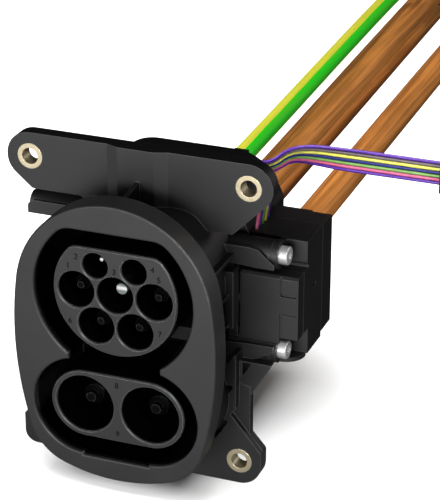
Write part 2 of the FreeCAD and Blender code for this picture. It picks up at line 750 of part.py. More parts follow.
def make_ac_insert_base():
    """The base that closes the holes, holds the contacts and sits in the housing's floor."""
    block = along_y(flat_top_round(AC_INSERT_R, AC_INSERT_TOP, AC_INSERT_CORNER), HOLE_END, FLOOR_Y)
    spigot_r = AC_INSERT_R - 2
    spigot = rod_y(0, 0, FLOOR_Y, SPIGOT_BACK, spigot_r)
    return cut(join([block, spigot]), pin_bores(contact_places(), POWER_PIN_R, POWER_COLLAR_R)
               + pin_bores(signal_places(), SIGNAL_PIN_R, SIGNAL_COLLAR_R))


def make_dc_insert():
    block = along_y(stadium(DC_HALF, DC_INSERT_R, DC_Z), INSERT_FRONT, HOLE_END)
    block = cut(block, open_holes(dc_places(), DC_HOLE_R))
    return block.makeChamfer(RIM_CHAMFER, front_edges(block, INSERT_FRONT))


def make_dc_insert_base():
    block = along_y(stadium(DC_HALF, DC_INSERT_R, DC_Z), HOLE_END, FLOOR_Y)
    spigot = along_y(stadium(DC_HALF, DC_INSERT_R - 1.5, DC_Z), FLOOR_Y, SPIGOT_BACK)
    return cut(join([block, spigot]), pin_bores(dc_places(), DC_PIN_R, DC_COLLAR_R))


def barrel_holes(places, barrel_r, start, end):
    """Holes for the contacts' barrels, cut right through from start to end."""
    return [rod_y(x, z, start - 1, end + 1, barrel_r + BARREL_GAP) for x, z in places.values()]


def make_retainers():
    start, end = SPIGOT_BACK, RETAINER_BACK
    upper = rod_y(0, 0, start, end, AC_INSERT_R - 2)
    upper = cut(upper, barrel_holes(contact_places(), POWER_BARREL_R, start, end)
                + barrel_holes(signal_places(), SIGNAL_BARREL_R, start, end))
    lower = along_y(stadium(DC_HALF, DC_INSERT_R - 1.5, DC_Z), start, end)
    return upper, cut(lower, barrel_holes(dc_places(), DC_BARREL_R, start, end))


def make_sensor_board():
    start, end = RETAINER_BACK, RETAINER_BACK + BOARD_THICK
    board = rod_y(0, 0, start, end, CONTACT_PITCH + BOARD_RIM)
    board = cut(board, barrel_holes(contact_places(), POWER_BARREL_R, start, end)
                + barrel_holes(signal_places(), SIGNAL_BARREL_R, start, end))
    low, high = SIGNAL_Z - 4.6, SIGNAL_Z - 3.4
    sensors = [box(x - 1, x + 1, end, end + 0.9, low, high) for x in (-SENSOR_X, SENSOR_X)]
    header = box(-HEADER_HALF, HEADER_HALF, end, end + 5, SIGNAL_Z + 4.1, SIGNAL_Z + 8.3)
    return join([board, header] + sensors)


# Rear housings and glands
def make_ac_rear_housing():
    """A round-backed cover with a flat top and bottom, its skirt set over the neck's back end."""
    reach = REAR_HALF
    inner_reach = REAR_HALF - REAR_WALL
    skirt_start = TUB_BACK - REAR_SKIRT
    outer = along_y(flat_top_round(REAR_R, REAR_TOP, REAR_CORNER), TUB_BACK, REAR_BACK)
    outer = outer.common(box(-reach, reach, TUB_BACK, REAR_BACK, REAR_LOW, REAR_TOP + 1))
    outer = outer.makeFillet(2.0, front_edges(outer, REAR_BACK))
    skirt = along_y(flat_top_round(REAR_R, REAR_TOP, REAR_CORNER), skirt_start, TUB_BACK)
    skirt = skirt.common(box(-reach, reach, skirt_start, TUB_BACK, SKIRT_LOW, REAR_TOP + 1))
    inner = along_y(flat_top_round(REAR_R - REAR_WALL, REAR_TOP - REAR_WALL, REAR_CORNER - REAR_WALL),
                    TUB_BACK + REAR_SEAT, REAR_BACK - REAR_WALL)
    inner = inner.common(box(-inner_reach, inner_reach, TUB_BACK, REAR_BACK, REAR_LOW + REAR_WALL, REAR_TOP))
    throat = along_y(flat_top_round(AC_RECESS_R, AC_RECESS_TOP, AC_RECESS_CORNER), skirt_start - 1,
                     TUB_BACK + REAR_SEAT + 1)
    throat = throat.common(box(-reach, reach, skirt_start - 1, REAR_BACK, REAR_LOW + REAR_WALL, REAR_TOP))
    cuts = [inner, throat, tunnel(WALL + SKIRT_GAP, skirt_start - 1, TUB_BACK)]
    cuts.append(rod_y(AC_CABLE_X, AC_CABLE_Z, REAR_BACK - 4, REAR_BACK + 1, POWER_CABLE_R + CABLE_SLIP))
    cuts.append(rod_y(EARTH_X, EARTH_Z, REAR_BACK - 4, REAR_BACK + 1, EARTH_CABLE_R + CABLE_SLIP))
    cuts.append(lead_slot(0, REAR_BACK - 4, REAR_BACK + 1))
    for x, y in actuator_lead_feet():
        before, last = actuator_lead_route(x, y)[-2:]
        cuts.append(Part.makeCylinder(LEAD_R + LEAD_SLIP, (before - last).Length, last, before - last))
    return cut(join([outer, skirt]), cuts)


def make_dc_rear_housing():
    outer = along_y(stadium(DC_HALF, DC_REAR_R, DC_Z), TUB_BACK, DC_REAR_BACK)
    outer = outer.makeFillet(2.0, front_edges(outer, DC_REAR_BACK))
    inner = along_y(stadium(DC_HALF, DC_REAR_R - REAR_WALL, DC_Z), TUB_BACK - 1, DC_REAR_BACK - REAR_WALL)
    holes = [rod_y(x, DC_CABLE_Z, DC_REAR_BACK - 4, DC_REAR_BACK + 1, POWER_CABLE_R + CABLE_SLIP)
             for x in (-DC_HALF, DC_HALF)]
    return cut(outer, [inner] + holes)


def gland(x, z, start, length, cable_r):
    """A screwed cable gland: a round sleeve with a six-sided nut near its end."""
    sleeve = rod_y(x, z, start, start + length, cable_r + GLAND_WALL - 0.6)
    nut_r = (cable_r + GLAND_WALL) / math.cos(math.pi / 6)
    turns = [k * math.pi / 3 for k in range(6)]
    corners = [(x + nut_r * math.cos(t), z + nut_r * math.sin(t)) for t in turns]
    nut = polygon(corners, "xz", start + length * 0.25, start + length * 0.8)
    nut = nut.common(rod_y(x, z, start, start + length, nut_r * 0.97))
    return cut(join([sleeve, nut]), [rod_y(x, z, start - 1, start + length + 1, cable_r + CABLE_SLIP)])


def cable_route(x, z, start, end, rise):
    """Level out of the gland, one long straight run that rises a little, and level again at the end."""
    top = z + rise * (end - start - 2 * CABLE_LEVEL)
    return [Vec(x, start, z), Vec(x, start + CABLE_LEVEL, z),
            Vec(x, end - CABLE_LEVEL, top), Vec(x, end, top)]


def cable_routes():
    """Route and radius of each cable, by node name."""
    ac_start = REAR_BACK - REAR_WALL
    return {
        "cable_earth": (cable_route(EARTH_X, EARTH_Z, ac_start, EARTH_END, EARTH_RISE), EARTH_CABLE_R),
        "cable_ac": (cable_route(AC_CABLE_X, AC_CABLE_Z, ac_start, AC_END, AC_RISE), POWER_CABLE_R),
        "cable_dc_plus": (cable_route(-DC_HALF, DC_CABLE_Z, DC_BARREL_END, LEFT_DC_END, LEFT_DC_RISE),
                          POWER_CABLE_R),
        "cable_dc_minus": (cable_route(DC_HALF, DC_CABLE_Z, DC_BARREL_END, RIGHT_DC_END, RIGHT_DC_RISE),
                           POWER_CABLE_R),
    }


def ring_lug(end, cable_r, stud_r):
    """A crimped ring lug: a barrel on the cable's end and a flat palm with its stud hole."""
    x, start, z = end.x, end.y, end.z
    barrel_len = cable_r * 3.2
    barrel = rod_y(x, z, start, start + barrel_len, cable_r * 0.86)
    palm_r = stud_r * 2.1
    centre = start + barrel_len + palm_r
    half = LUG_PALM / 2
    palm = rod_z(x, centre, z - half, z + half, palm_r)
    neck = box(x - palm_r * 0.8, x + palm_r * 0.8, start + barrel_len - 3, centre, z - half, z + half)
    return cut(join([barrel, palm, neck]), [rod_z(x, centre, z - LUG_PALM, z + LUG_PALM, stud_r)])


def make_ac_plug(end):
    """The inline connector on the far end of the multi-core cable."""
    x, start, z = end.x, end.y, end.z
    nose = rod_y(x, z, start, start + 9, POWER_CABLE_R + 2.2)
    shell = box(x - 14, x + 14, start + 9, start + 42, z - 11, z + 11)
    shell = shell.makeFillet(3.0, [e for e in shell.Edges if e.BoundBox.YLength > 30])
    sockets = [rod_y(x + dx, z + dz, start + 26, start + 43, 2.6) for dx in (-8, 0, 8) for dz in (-4.5, 4.5)]
    return cut(join([nose, shell]), sockets)


# Lock actuator
def make_actuator_cover():
    cover = box(CASE_LEFT, CASE_RIGHT, COVER_Y, COVER_BACK, PANEL_BOTTOM, PANEL_TOP)
    top_edge = [e for e in cover.Edges if abs(e.BoundBox.ZMin - PANEL_TOP) < 1e-4
                and abs(e.BoundBox.YMax - COVER_Y) < 1e-4]
    cover = cover.makeChamfer(1.1, top_edge)
    room = box(CASE_LEFT + CASE_WALL, CASE_RIGHT - CASE_WALL, COVER_Y + CASE_WALL, COVER_BACK + 1,
               PANEL_BOTTOM + CORNER_NOTCH + CASE_WALL, PANEL_TOP - CASE_WALL)
    split = CASE_RIGHT - COVER_SPLIT
    groove = 0.6
    front = COVER_Y - 1
    deep = COVER_Y + groove
    tongue_top = PANEL_TOP - 7.6
    tongue_low = PANEL_BOTTOM + 12.7
    grooves = [
        box(split - 0.35, split + 0.35, front, deep, tongue_top, PANEL_TOP + 1),
        box(split - 0.35, split + 0.35, front, deep, PANEL_BOTTOM, tongue_low),
        corner_notch(),
        box(split, CASE_RIGHT - 0.9, front, deep + 0.5, tongue_top - 0.9, tongue_top),
        box(split, CASE_RIGHT - 0.9, front, deep, tongue_low - 0.2, tongue_low + 0.2),
        bolt_room(),
    ]
    side = box(CASE_RIGHT - SEAM, CASE_RIGHT + 1, COVER_BACK - SEAM, COVER_BACK, PANEL_BOTTOM, PANEL_TOP)
    return cut(cover, [room, side] + grooves)


def corner_notch():
    """Room beside the lower screw head, cut from the corner of the cover and its collar."""
    return box(CASE_RIGHT - COVER_SPLIT - 0.35, CASE_RIGHT + 1, COVER_Y - 1, STEP_Y,
               PANEL_BOTTOM - 1, PANEL_BOTTOM + CORNER_NOTCH)


def bolt_room():
    """The bolt's way through the side wall, and its channel behind the cover."""
    return rod_x(CASE_LEFT - 1, BOLT_END + BOLT_GAP, TOWER_Y, BOLT_Z, BOLT_R + BOLT_GAP)


def case_ear(z):
    """A round ear that the fixing screw clamps against its tower, cut flat beside the cover."""
    ring = rod_x(TOWER_END, TOWER_END + LUG_THICK, TOWER_Y, z, TOWER_R)
    web = box(TOWER_END, TOWER_END + LUG_THICK, TOWER_Y, STEP_Y + 1, z - TOWER_R + 1.6, z + TOWER_R - 1.6)
    hole = rod_x(TOWER_END - 1, TOWER_END + LUG_THICK + 1, TOWER_Y, z, SCREW_HOLE_R)
    beside = box(CASE_LEFT, CASE_RIGHT, COVER_Y - 2, COVER_BACK,
                 PANEL_BOTTOM - CASE_GAP, PANEL_TOP + CASE_GAP)
    return join([ring, web]).cut([hole, beside])


def upper_relief_block():
    """The shoulder behind the upper screw head, low enough for a screwdriver and rounded below."""
    block = box(TOWER_END + LUG_THICK, CASE_RIGHT, RELIEF_Y, STEP_Y + 1, PANEL_TOP + RELIEF_LOW, CASE_TOP)
    low_edge = [e for e in block.Edges if e.BoundBox.YMax < RELIEF_Y + 1e-4
                and e.BoundBox.ZMax < PANEL_TOP + RELIEF_LOW + 1e-4]
    return block.makeFillet(1.5, low_edge)


def lower_lobe():
    """The rounded ledge below the lower screw head."""
    low = LOWER_TOWER_Z - TOWER_R
    plate = rod_z(TOWER_END + LUG_THICK, STEP_Y, low, LOWER_TOWER_Z - SCREW_HEAD_R - 0.2, LOBE_R)
    return plate.common(box(TOWER_END, CASE_RIGHT, TOWER_Y - TOWER_R, STEP_Y + 1, low, LOWER_TOWER_Z))


def make_actuator_case():
    wall = CASE_WALL
    full = box(CASE_LEFT, CASE_RIGHT, STEP_Y, CASE_BACK, CASE_BOTTOM, CASE_TOP)
    collar = box(CASE_LEFT, CASE_RIGHT, COVER_BACK, STEP_Y + 1, PANEL_BOTTOM, PANEL_TOP).cut(corner_notch())
    body = join([full, collar, upper_relief_block(), lower_lobe(), case_ear(UPPER_TOWER_Z),
                 case_ear(LOWER_TOWER_Z)])
    front_room = box(CASE_LEFT + wall, CASE_RIGHT - wall, COVER_BACK - 1, STEP_Y + wall + 1,
                     PANEL_BOTTOM + CORNER_NOTCH + wall, PANEL_TOP - wall)
    main_room = box(CASE_LEFT + wall, CASE_RIGHT - wall, STEP_Y + wall, CASE_BACK + 1,
                    CASE_BOTTOM + wall, CASE_TOP - wall)
    seams = [box(CASE_RIGHT - SEAM, CASE_RIGHT + 1, y, y + SEAM, CASE_BOTTOM - 1, CASE_TOP + 1)
             for y in (COVER_BACK, CASE_BACK - SEAM)]
    top_seam = box(CASE_LEFT - 1, CASE_RIGHT + 1, CASE_BACK - SEAM, CASE_BACK + 1,
                   CASE_TOP - SEAM, CASE_TOP + 1)
    peep = rod_x(CASE_RIGHT - 1.2, CASE_RIGHT + 1, STEP_Y + 7.2, BOLT_Z + 3.0, PEEP_R)
    leads = [rod_z(x, y, CASE_TOP - wall - 1, CASE_TOP + 1, LEAD_R + 0.1) for x, y in actuator_lead_feet()]
    body = cut(body, [front_room, main_room, peep, bolt_room(), top_seam] + seams + leads)
    boss_top = rod_z(WHEEL_X, WHEEL_Y, WHEEL_Z + WHEEL_FACE + 0.3, PANEL_TOP - wall, AXLE_R + 1.5)
    floor = PANEL_BOTTOM + CORNER_NOTCH + wall
    foot_half = AXLE_R + 1.7
    axle_post = rod_z(WHEEL_X, WHEEL_Y, floor, PINION_LOW - 0.3, AXLE_R + 1.8)
    seat_low = CASE_BOTTOM + wall
    foot = box(WHEEL_X - foot_half, WHEEL_X + foot_half, WHEEL_Y, STEP_Y + wall + 3, seat_low, floor + 0.2)
    seat = rod_z(WHEEL_X, MOTOR_Y, seat_low, seat_low + 4, MOTOR_R + 1.3)
    seat = seat.cut(rod_z(WHEEL_X, MOTOR_Y, seat_low + 1, CASE_TOP, MOTOR_R + RUNNING))
    body = join([body, boss_top, axle_post, foot.cut(seat_room()), seat])
    axle = rod_z(WHEEL_X, WHEEL_Y, PINION_LOW - 4, WHEEL_Z + WHEEL_FACE + 1.5, AXLE_R)
    return body.cut(axle)


def seat_room():
    """Space of the motor and its seat, kept clear of the wheel's foot."""
    return rod_z(WHEEL_X, MOTOR_Y, CASE_BOTTOM, CASE_TOP, MOTOR_R + 1.3)


def make_actuator_cap():
    cap = box(CASE_LEFT, CASE_RIGHT, CASE_BACK, CAP_BACK, CAP_BOTTOM, CASE_TOP)
    cap = cap.makeFillet(1.2, front_edges(cap, CAP_BACK))
    step = box(CASE_RIGHT - 8.5, CASE_RIGHT + 1, CAP_BACK - 3.5, CAP_BACK + 1,
               CASE_TOP - CAP_STEP, CASE_TOP + 1)
    wall = CASE_WALL
    room = box(CASE_LEFT + wall, CASE_RIGHT - wall, CASE_BACK - 1, CAP_BACK - wall, CAP_BOTTOM + wall,
               CASE_TOP - wall)
    return cut(cap, [room, step])


def involute_profile(teeth, module, turn):
    """Corner points of a spur gear: root, two-point involute flanks and tip, thinned for backlash."""
    pressure = math.radians(20)
    pitch = module * teeth / 2
    base = pitch * math.cos(pressure)
    tip = pitch + module * 0.9
    root = pitch - module * 1.2
    half_tooth = math.pi / (2 * teeth) - BACKLASH / (2 * pitch)
    inv = lambda r: math.sqrt(max((r / base) ** 2 - 1, 0)) - math.acos(min(base / r, 1))
    points = []
    for k in range(teeth):
        middle = turn + 2 * math.pi * k / teeth
        radii = [max(base, root + 0.05), pitch, tip]
        angles = [half_tooth + inv(pitch) - inv(r) for r in radii]
        gap = angles[0]
        flank = [(root, -gap)] + [(r, -a) for r, a in zip(radii, angles)]
        flank += [(r, a) for r, a in reversed(list(zip(radii, angles)))] + [(root, gap)]
        points += [(r * math.cos(middle + a), r * math.sin(middle + a)) for r, a in flank]
    return points


def spur_gear(x, y, z0, z1, teeth, module, turn):
    outline = [(x + px, y + py) for px, py in involute_profile(teeth, module, turn)]
    return polygon(outline, "xy", z0, z1)


def make_drive_gear():
    """The stepped gear: its large wheel meets the motor, its pinion works the bolt's rack."""
    pinion = spur_gear(WHEEL_X, WHEEL_Y, PINION_LOW, PINION_TOP, PINION_TEETH, RACK_MODULE, -math.pi / 2)
    wheel_top = WHEEL_Z + WHEEL_FACE
    wheel = spur_gear(WHEEL_X, WHEEL_Y, WHEEL_Z, wheel_top, WHEEL_TEETH, WHEEL_MODULE, math.pi / 2)
    bore = rod_z(WHEEL_X, WHEEL_Y, PINION_LOW - 1, wheel_top + 1, AXLE_R + RUNNING)
    return join([pinion, wheel]).cut(bore)


def make_motor_pinion():
    turn = -math.pi / 2 + math.pi / MOTOR_TEETH
    gear = spur_gear(WHEEL_X, MOTOR_Y, WHEEL_Z, WHEEL_Z + WHEEL_FACE, MOTOR_TEETH, WHEEL_MODULE, turn)
    shaft = rod_z(WHEEL_X, MOTOR_Y, MOTOR_TOP - 8, WHEEL_Z + 1, SHAFT_R)
    return join([gear, shaft])


def make_motor():
    bottom = CASE_BOTTOM + CASE_WALL + 1
    can = rod_z(WHEEL_X, MOTOR_Y, bottom, MOTOR_TOP, MOTOR_R)
    nose = rod_z(WHEEL_X, MOTOR_Y, MOTOR_TOP, MOTOR_TOP + 1.2, SHAFT_R + 1.6)
    flat = box(MOTOR_R * 0.86, MOTOR_R + 1, MOTOR_Y - 9, MOTOR_Y + 9, bottom + 4, MOTOR_TOP)
    flats = [flat.translated(Vec(WHEEL_X, 0, 0)), mirror_x(flat).translated(Vec(WHEEL_X, 0, 0))]
    bore = rod_z(WHEEL_X, MOTOR_Y, MOTOR_TOP - 8.5, MOTOR_TOP + 2, SHAFT_R + RUNNING)
    return cut(join([can, nose]), flats + [bore])


def make_lock_bolt():
    """A round bolt with rack teeth milled across its back."""
    end = BOLT_END
    bolt = rod_x(BOLT_TIP, end, TOWER_Y, BOLT_Z, BOLT_R)
    bolt = bolt.makeChamfer(0.6, [e for e in bolt.Edges if e.BoundBox.XMax < BOLT_TIP + 1e-4])
    pitch = math.pi * RACK_MODULE
    lean = math.tan(math.radians(20))
    top = RACK_PITCH_Y + RACK_MODULE * 0.9
    low = RACK_PITCH_Y - RACK_MODULE * 1.2
    half_gap = pitch / 4 + BACKLASH / 2
    under, over = BOLT_Z - BOLT_R - 1, BOLT_Z + BOLT_R + 1
    mill = box(WHEEL_X - 2 * pitch, end + 1, top, TOWER_Y + BOLT_R + 1, under, over)
    gaps = []
    for k in range(-1, 1 + math.ceil(BOLT_STROKE / pitch)):
        x = WHEEL_X + pitch * k
        wide = half_gap + (top + 1 - RACK_PITCH_Y) * lean
        thin = half_gap - (RACK_PITCH_Y - low) * lean
        gaps.append(polygon([(x - wide, top + 1), (x - thin, low), (x + thin, low), (x + wide, top + 1)],
                            "xy", under, over))
    return bolt.cut([mill] + gaps)


def make_bolt_seal():
    start = CASE_LEFT - GUIDE_SETBACK - SEAL_LENGTH
    ring = rod_x(start, start + SEAL_LENGTH, TOWER_Y, BOLT_Z, SEAL_R)
    return ring.cut(rod_x(start - 1, CASE_LEFT, TOWER_Y, BOLT_Z, BOLT_R + BOLT_GAP))


def make_position_switch():
    wall = COVER_Y + CASE_WALL
    low = PANEL_BOTTOM + CORNER_NOTCH + CASE_WALL
    body = box(WHEEL_X - 5.5, WHEEL_X + 5.5, wall, wall + 4.6, low, low + 6.4)
    button = rod_z(WHEEL_X - 1, wall + 2.3, low + 6.4, BOLT_Z - BOLT_R - 0.4, 0.9)
    return join([body, button])


def make_actuator_screws():
    screws = []
    for z in (UPPER_TOWER_Z, LOWER_TOWER_Z):
        start = TOWER_END + LUG_THICK
        head = rod_x(start, start + SCREW_HEAD, TOWER_Y, z, SCREW_HEAD_R)
        head = head.makeChamfer(0.4, [e for e in head.Edges if e.BoundBox.XMin > start + SCREW_HEAD - 1e-4])
        shank = rod_x(start - SCREW_LENGTH, start, TOWER_Y, z, SCREW_R)
        flat = SCREW_HEX / math.cos(math.pi / 6)
        corners = [(TOWER_Y + flat * math.cos(k * math.pi / 3), z + flat * math.sin(k * math.pi / 3))
                   for k in range(6)]
        key = polygon(corners, "yz", start + SCREW_HEAD - 1.8, start + SCREW_HEAD + 1)
        screws.append(join([head, shank]).cut(key))
    return Part.makeCompound(screws)


def make_gear_axle():
    return rod_z(WHEEL_X, WHEEL_Y, PINION_LOW - 4, WHEEL_Z + WHEEL_FACE + 1.5, AXLE_R)


# Signal leads
def lead_heights():
    middle = (LEAD_COUNT - 1) / 2
    return [(middle - k) * LEAD_PITCH for k in range(LEAD_COUNT)]


def lead_slot(grow, y0, y1):
    half = LEAD_PITCH * LEAD_COUNT / 2 + 1.2 + grow
    across = LEAD_R + 1.3 + grow
    return box(LEAD_X - across, LEAD_X + across, y0, y1, LEAD_Z - half, LEAD_Z + half)


def make_lead_grommet():
    plug = lead_slot(0, REAR_BACK - REAR_WALL, REAR_BACK)
    flange = lead_slot(1.0, REAR_BACK, REAR_BACK + GROMMET_LENGTH)
    cuts = [rod_y(LEAD_X, LEAD_Z + h, REAR_BACK - 4, REAR_BACK + GROMMET_LENGTH + 1, LEAD_R + 0.02)
            for h in lead_heights()]
    return cut(join([plug, flange]), cuts)


def lead_route(height):
    """Points of one signal lead: out of the grommet, a bend to the right, then away along X."""
    x, y, z = LEAD_X, REAR_BACK, LEAD_Z + height
    return [Vec(x, y, z), Vec(x, y + 6, z), Vec(x + 3.6, y + 12, z + 1.5), Vec(x + 10.5, y + 15.4, z + 2.7),
            Vec(x + 20, y + 16.1, z + 3.3), Vec(x + 37, y + 15.8, z + 3.6), Vec(x + 59, y + 16.2, z + 3.4),
            Vec(x + 80, y + 16.2, z + 3.4)]


def actuator_lead_feet():
    first_y = STEP_Y + 2.6
    return [(CASE_LEFT + 1.4, first_y + k * ACTUATOR_LEAD_PITCH) for k in range(ACTUATOR_LEADS)]


def actuator_lead_route(x, y):
    """A short lead from the top of the actuator, back and over into the side of the rear housing."""
    top = CASE_TOP
    end_z = top + 5.6
    end_x = math.sqrt(REAR_R ** 2 - end_z ** 2) - ACTUATOR_LEAD_ENTRY
    return [Vec(x, y, top), Vec(x, y, top + 1.6), Vec(x, y + 3.2, top + 7.0),
            Vec(end_x + 5.2, y + 5.0, top + 8.2), Vec(end_x, y + 6.2, end_z)]


def tube(points, radius):
    """A round tube along straight runs joined by the largest tangent arcs that the runs allow."""
    pieces = []
    last = points[0]
    smallest = None
    for i in range(1, len(points) - 1):
        here = points[i]
        back = (points[i - 1] - here)
        ahead = (points[i + 1] - here)
        run = 0.45 * min(back.Length, ahead.Length)
        inward = back.normalize()
        outward = ahead.normalize()
        turn = math.pi - inward.getAngle(outward)
        bend = run / math.tan(turn / 2)
        smallest = bend if smallest is None else min(smallest, bend)
        start = here + inward * run
        end = here + outward * run
        bisector = (inward + outward).normalize()
        middle = here + bisector * (bend / math.cos(turn / 2) - bend)
        pieces.append(Part.makeLine(last, start))
        pieces.append(Part.Arc(start, middle, end).toShape())
        last = end
    pieces.append(Part.makeLine(last, points[-1]))
    path = Part.Wire(pieces)
    way = (points[1] - points[0]).normalize()
    ring = Part.Wire([Part.makeCircle(radius, points[0], way)])
    solid = path.makePipeShell([ring], True, False, 1)
    ideal = math.pi * radius ** 2 * path.Length
    ratio = solid.Volume / ideal
    print("tube length %.1f  smallest bend %.1f  volume ratio %.3f" % (path.Length, smallest, ratio))
    return solid


LEAD_COLOURS = ["violet", "grey", "yellow", "blue", "green", "red", "purple"]


def make_leads():
    return {"lead_" + colour: tube(lead_route(h), LEAD_R) for colour, h in zip(LEAD_COLOURS, lead_heights())}


def make_actuator_leads():
    solids = [tube(actuator_lead_route(x, y), LEAD_R) for x, y in actuator_lead_feet()]
    return Part.makeCompound(solids)


def make_signal_plug():
    end = lead_route(0)[-1]
    high = LEAD_PITCH * LEAD_COUNT / 2 + 2.4
    body = box(end.x, end.x + 16, end.y - 4.2, end.y + 4.2, end.z - high, end.z + high)
    body = body.makeFillet(1.2, [e for e in body.Edges if e.BoundBox.XLength > 10])
    latch = box(end.x + 3, end.x + 13, end.y - 6.2, end.y - 4.0, end.z - 2.5, end.z + 2.5)
    pins = [box(end.x + 9, end.x + 17, end.y - 0.9, end.y + 0.9, end.z + h - 0.5, end.z + h + 0.5)
            for h in lead_heights()]
    return cut(join([body, latch]), pins)


def make_core_wires():
    """Cores between the cable ends and the contact barrels inside the rear housing."""
    start = BARREL_END + CORE_GAP
    end = REAR_BACK - REAR_WALL - CORE_GAP
    slab = box(-40, 40, start, end, -40, 40)
    spread = POWER_CABLE_R * 0.45
    wires = []
    for name, (x, z) in contact_places().items():
        if name == "contact_earth":
            goal = Vec(EARTH_X, end + 1, EARTH_Z)
            r = EARTH_CABLE_R * 0.6
        else:
            goal_z = AC_CABLE_Z + (spread if z == 0 else -spread)
            goal = Vec(AC_CABLE_X + math.copysign(spread, x), end + 1, goal_z)
            r = POWER_PIN_R * 0.55
        base = Vec(x, start - 2, z)
        wires.append(Part.makeCylinder(r, (goal - base).Length + 2, base, goal - base).common(slab))
    return Part.makeCompound(wires)


def build():
    parts = {
        "face_frame": make_face_frame(),
        "main_housing": make_main_housing(),
        "flange_bushings": make_bushings(),
        "ac_insert": make_ac_insert(),
        "ac_insert_base": make_ac_insert_base(),
        "dc_insert": make_dc_insert(),
        "dc_insert_base": make_dc_insert_base(),
        "sensor_board": make_sensor_board(),
        "ac_rear_housing": make_ac_rear_housing(),
        "dc_rear_housing": make_dc_rear_housing(),
        "actuator_cover": make_actuator_cover(),
        "actuator_case": make_actuator_case(),
        "actuator_cap": make_actuator_cap(),
        "drive_gear": make_drive_gear(),
        "gear_axle": make_gear_axle(),
        "lock_motor": make_motor(),
        "motor_pinion": make_motor_pinion(),
        "lock_bolt": make_lock_bolt(),
        "bolt_seal": make_bolt_seal(),
        "position_switch": make_position_switch(),
        "actuator_screws": make_actuator_screws(),
        "actuator_leads": make_actuator_leads(),
        "lead_grommet": make_lead_grommet(),
        "signal_plug": make_signal_plug(),
        "core_wires": make_core_wires(),
    }
    parts.update(make_contacts())
    parts["ac_contact_caps"], parts["dc_contact_caps"] = make_caps()
    parts["ac_retainer"], parts["dc_retainer"] = make_retainers()
    parts.update(make_leads())
    parts["gland_ac"] = gland(AC_CABLE_X, AC_CABLE_Z, REAR_BACK, GLAND_LENGTH, POWER_CABLE_R)
    parts["gland_earth"] = gland(EARTH_X, EARTH_Z, REAR_BACK, EARTH_GLAND_LENGTH, EARTH_CABLE_R)
    parts["gland_dc_plus"] = gland(-DC_HALF, DC_CABLE_Z, DC_REAR_BACK, GLAND_LENGTH, POWER_CABLE_R)
    parts["gland_dc_minus"] = gland(DC_HALF, DC_CABLE_Z, DC_REAR_BACK, GLAND_LENGTH, POWER_CABLE_R)
    ends = {}
    for name, (route, radius) in cable_routes().items():
        parts[name] = tube(route, radius)
        ends[name] = route[-1]
    parts["ac_plug"] = make_ac_plug(ends["cable_ac"])
    parts["lug_earth"] = ring_lug(ends["cable_earth"], EARTH_CABLE_R, EARTH_STUD_R)
    parts["lug_dc_plus"] = ring_lug(ends["cable_dc_plus"], POWER_CABLE_R, DC_STUD_R)
    parts["lug_dc_minus"] = ring_lug(ends["cable_dc_minus"], POWER_CABLE_R, DC_STUD_R)
    return parts


os.makedirs("parts", exist_ok=True)
for node, shape in build().items():
    if not shape.isValid() or shape.Volume <= 0:
        print("check", node, shape.isValid(), shape.Volume)
    print(node, len(shape.Solids), round(shape.Volume, 1))
    shape.exportStep(os.path.join("parts", node + ".step"))
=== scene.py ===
# Vehicle charging socket: its parts with their real finishes, in metres; some of these also carry painted
# highlight and shade.
import json
import math

import bmesh
import bpy
from mathutils import Matrix, Vector


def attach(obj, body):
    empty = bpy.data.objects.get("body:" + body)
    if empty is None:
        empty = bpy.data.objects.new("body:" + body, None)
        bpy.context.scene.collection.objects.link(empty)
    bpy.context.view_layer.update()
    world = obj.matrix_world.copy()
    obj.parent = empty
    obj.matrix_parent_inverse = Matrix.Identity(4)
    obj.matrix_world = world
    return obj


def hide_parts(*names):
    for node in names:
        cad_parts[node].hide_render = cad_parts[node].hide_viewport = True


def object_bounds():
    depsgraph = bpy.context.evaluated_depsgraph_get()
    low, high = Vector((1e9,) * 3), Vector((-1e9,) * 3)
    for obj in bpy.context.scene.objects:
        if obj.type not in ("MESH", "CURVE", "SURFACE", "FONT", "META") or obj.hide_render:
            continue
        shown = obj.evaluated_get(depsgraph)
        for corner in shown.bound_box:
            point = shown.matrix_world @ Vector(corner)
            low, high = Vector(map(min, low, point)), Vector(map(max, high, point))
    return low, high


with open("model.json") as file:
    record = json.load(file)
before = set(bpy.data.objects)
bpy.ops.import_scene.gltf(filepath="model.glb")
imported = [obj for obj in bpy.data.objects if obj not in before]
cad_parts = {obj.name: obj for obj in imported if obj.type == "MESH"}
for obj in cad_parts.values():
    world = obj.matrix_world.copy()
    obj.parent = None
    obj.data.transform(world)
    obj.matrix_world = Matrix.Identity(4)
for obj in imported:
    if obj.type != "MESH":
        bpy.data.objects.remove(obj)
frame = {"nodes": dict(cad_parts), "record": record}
NODES = frame["nodes"]
cad_low, cad_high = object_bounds()
bpy.context.scene.view_settings.view_transform = "Standard"
MM = 0.001
FLOOR_Z = cad_low.z - 0.0005

# Camera, at the photograph's viewing angle: place, and the picture's own directions
CAMERA_PLACE = (0.29713, -0.67598, 0.34600)
CAMERA_RIGHT = (0.9317, 0.3633, 0.0)
CAMERA_UP = (-0.1509, 0.3870, 0.9098)
CAMERA_BACK = (0.3305, -0.8476, 0.4154)
CAMERA_LENS = 151.8
CAMERA_SENSOR = 36.0
CAMERA_NEAR = 0.05
CAMERA_FAR = 30.0


def add_camera():
    data = bpy.data.cameras.new("photo_view")
    data.lens = CAMERA_LENS
    data.sensor_width = CAMERA_SENSOR
    data.clip_start = CAMERA_NEAR
    data.clip_end = CAMERA_FAR
    camera = bpy.data.objects.new("photo_view", data)
    bpy.context.scene.collection.objects.link(camera)
    turn = Matrix((CAMERA_RIGHT, CAMERA_UP, CAMERA_BACK)).transposed().to_4x4()
    camera.matrix_world = Matrix.Translation(CAMERA_PLACE) @ turn
    bpy.context.scene.camera = camera


add_camera()


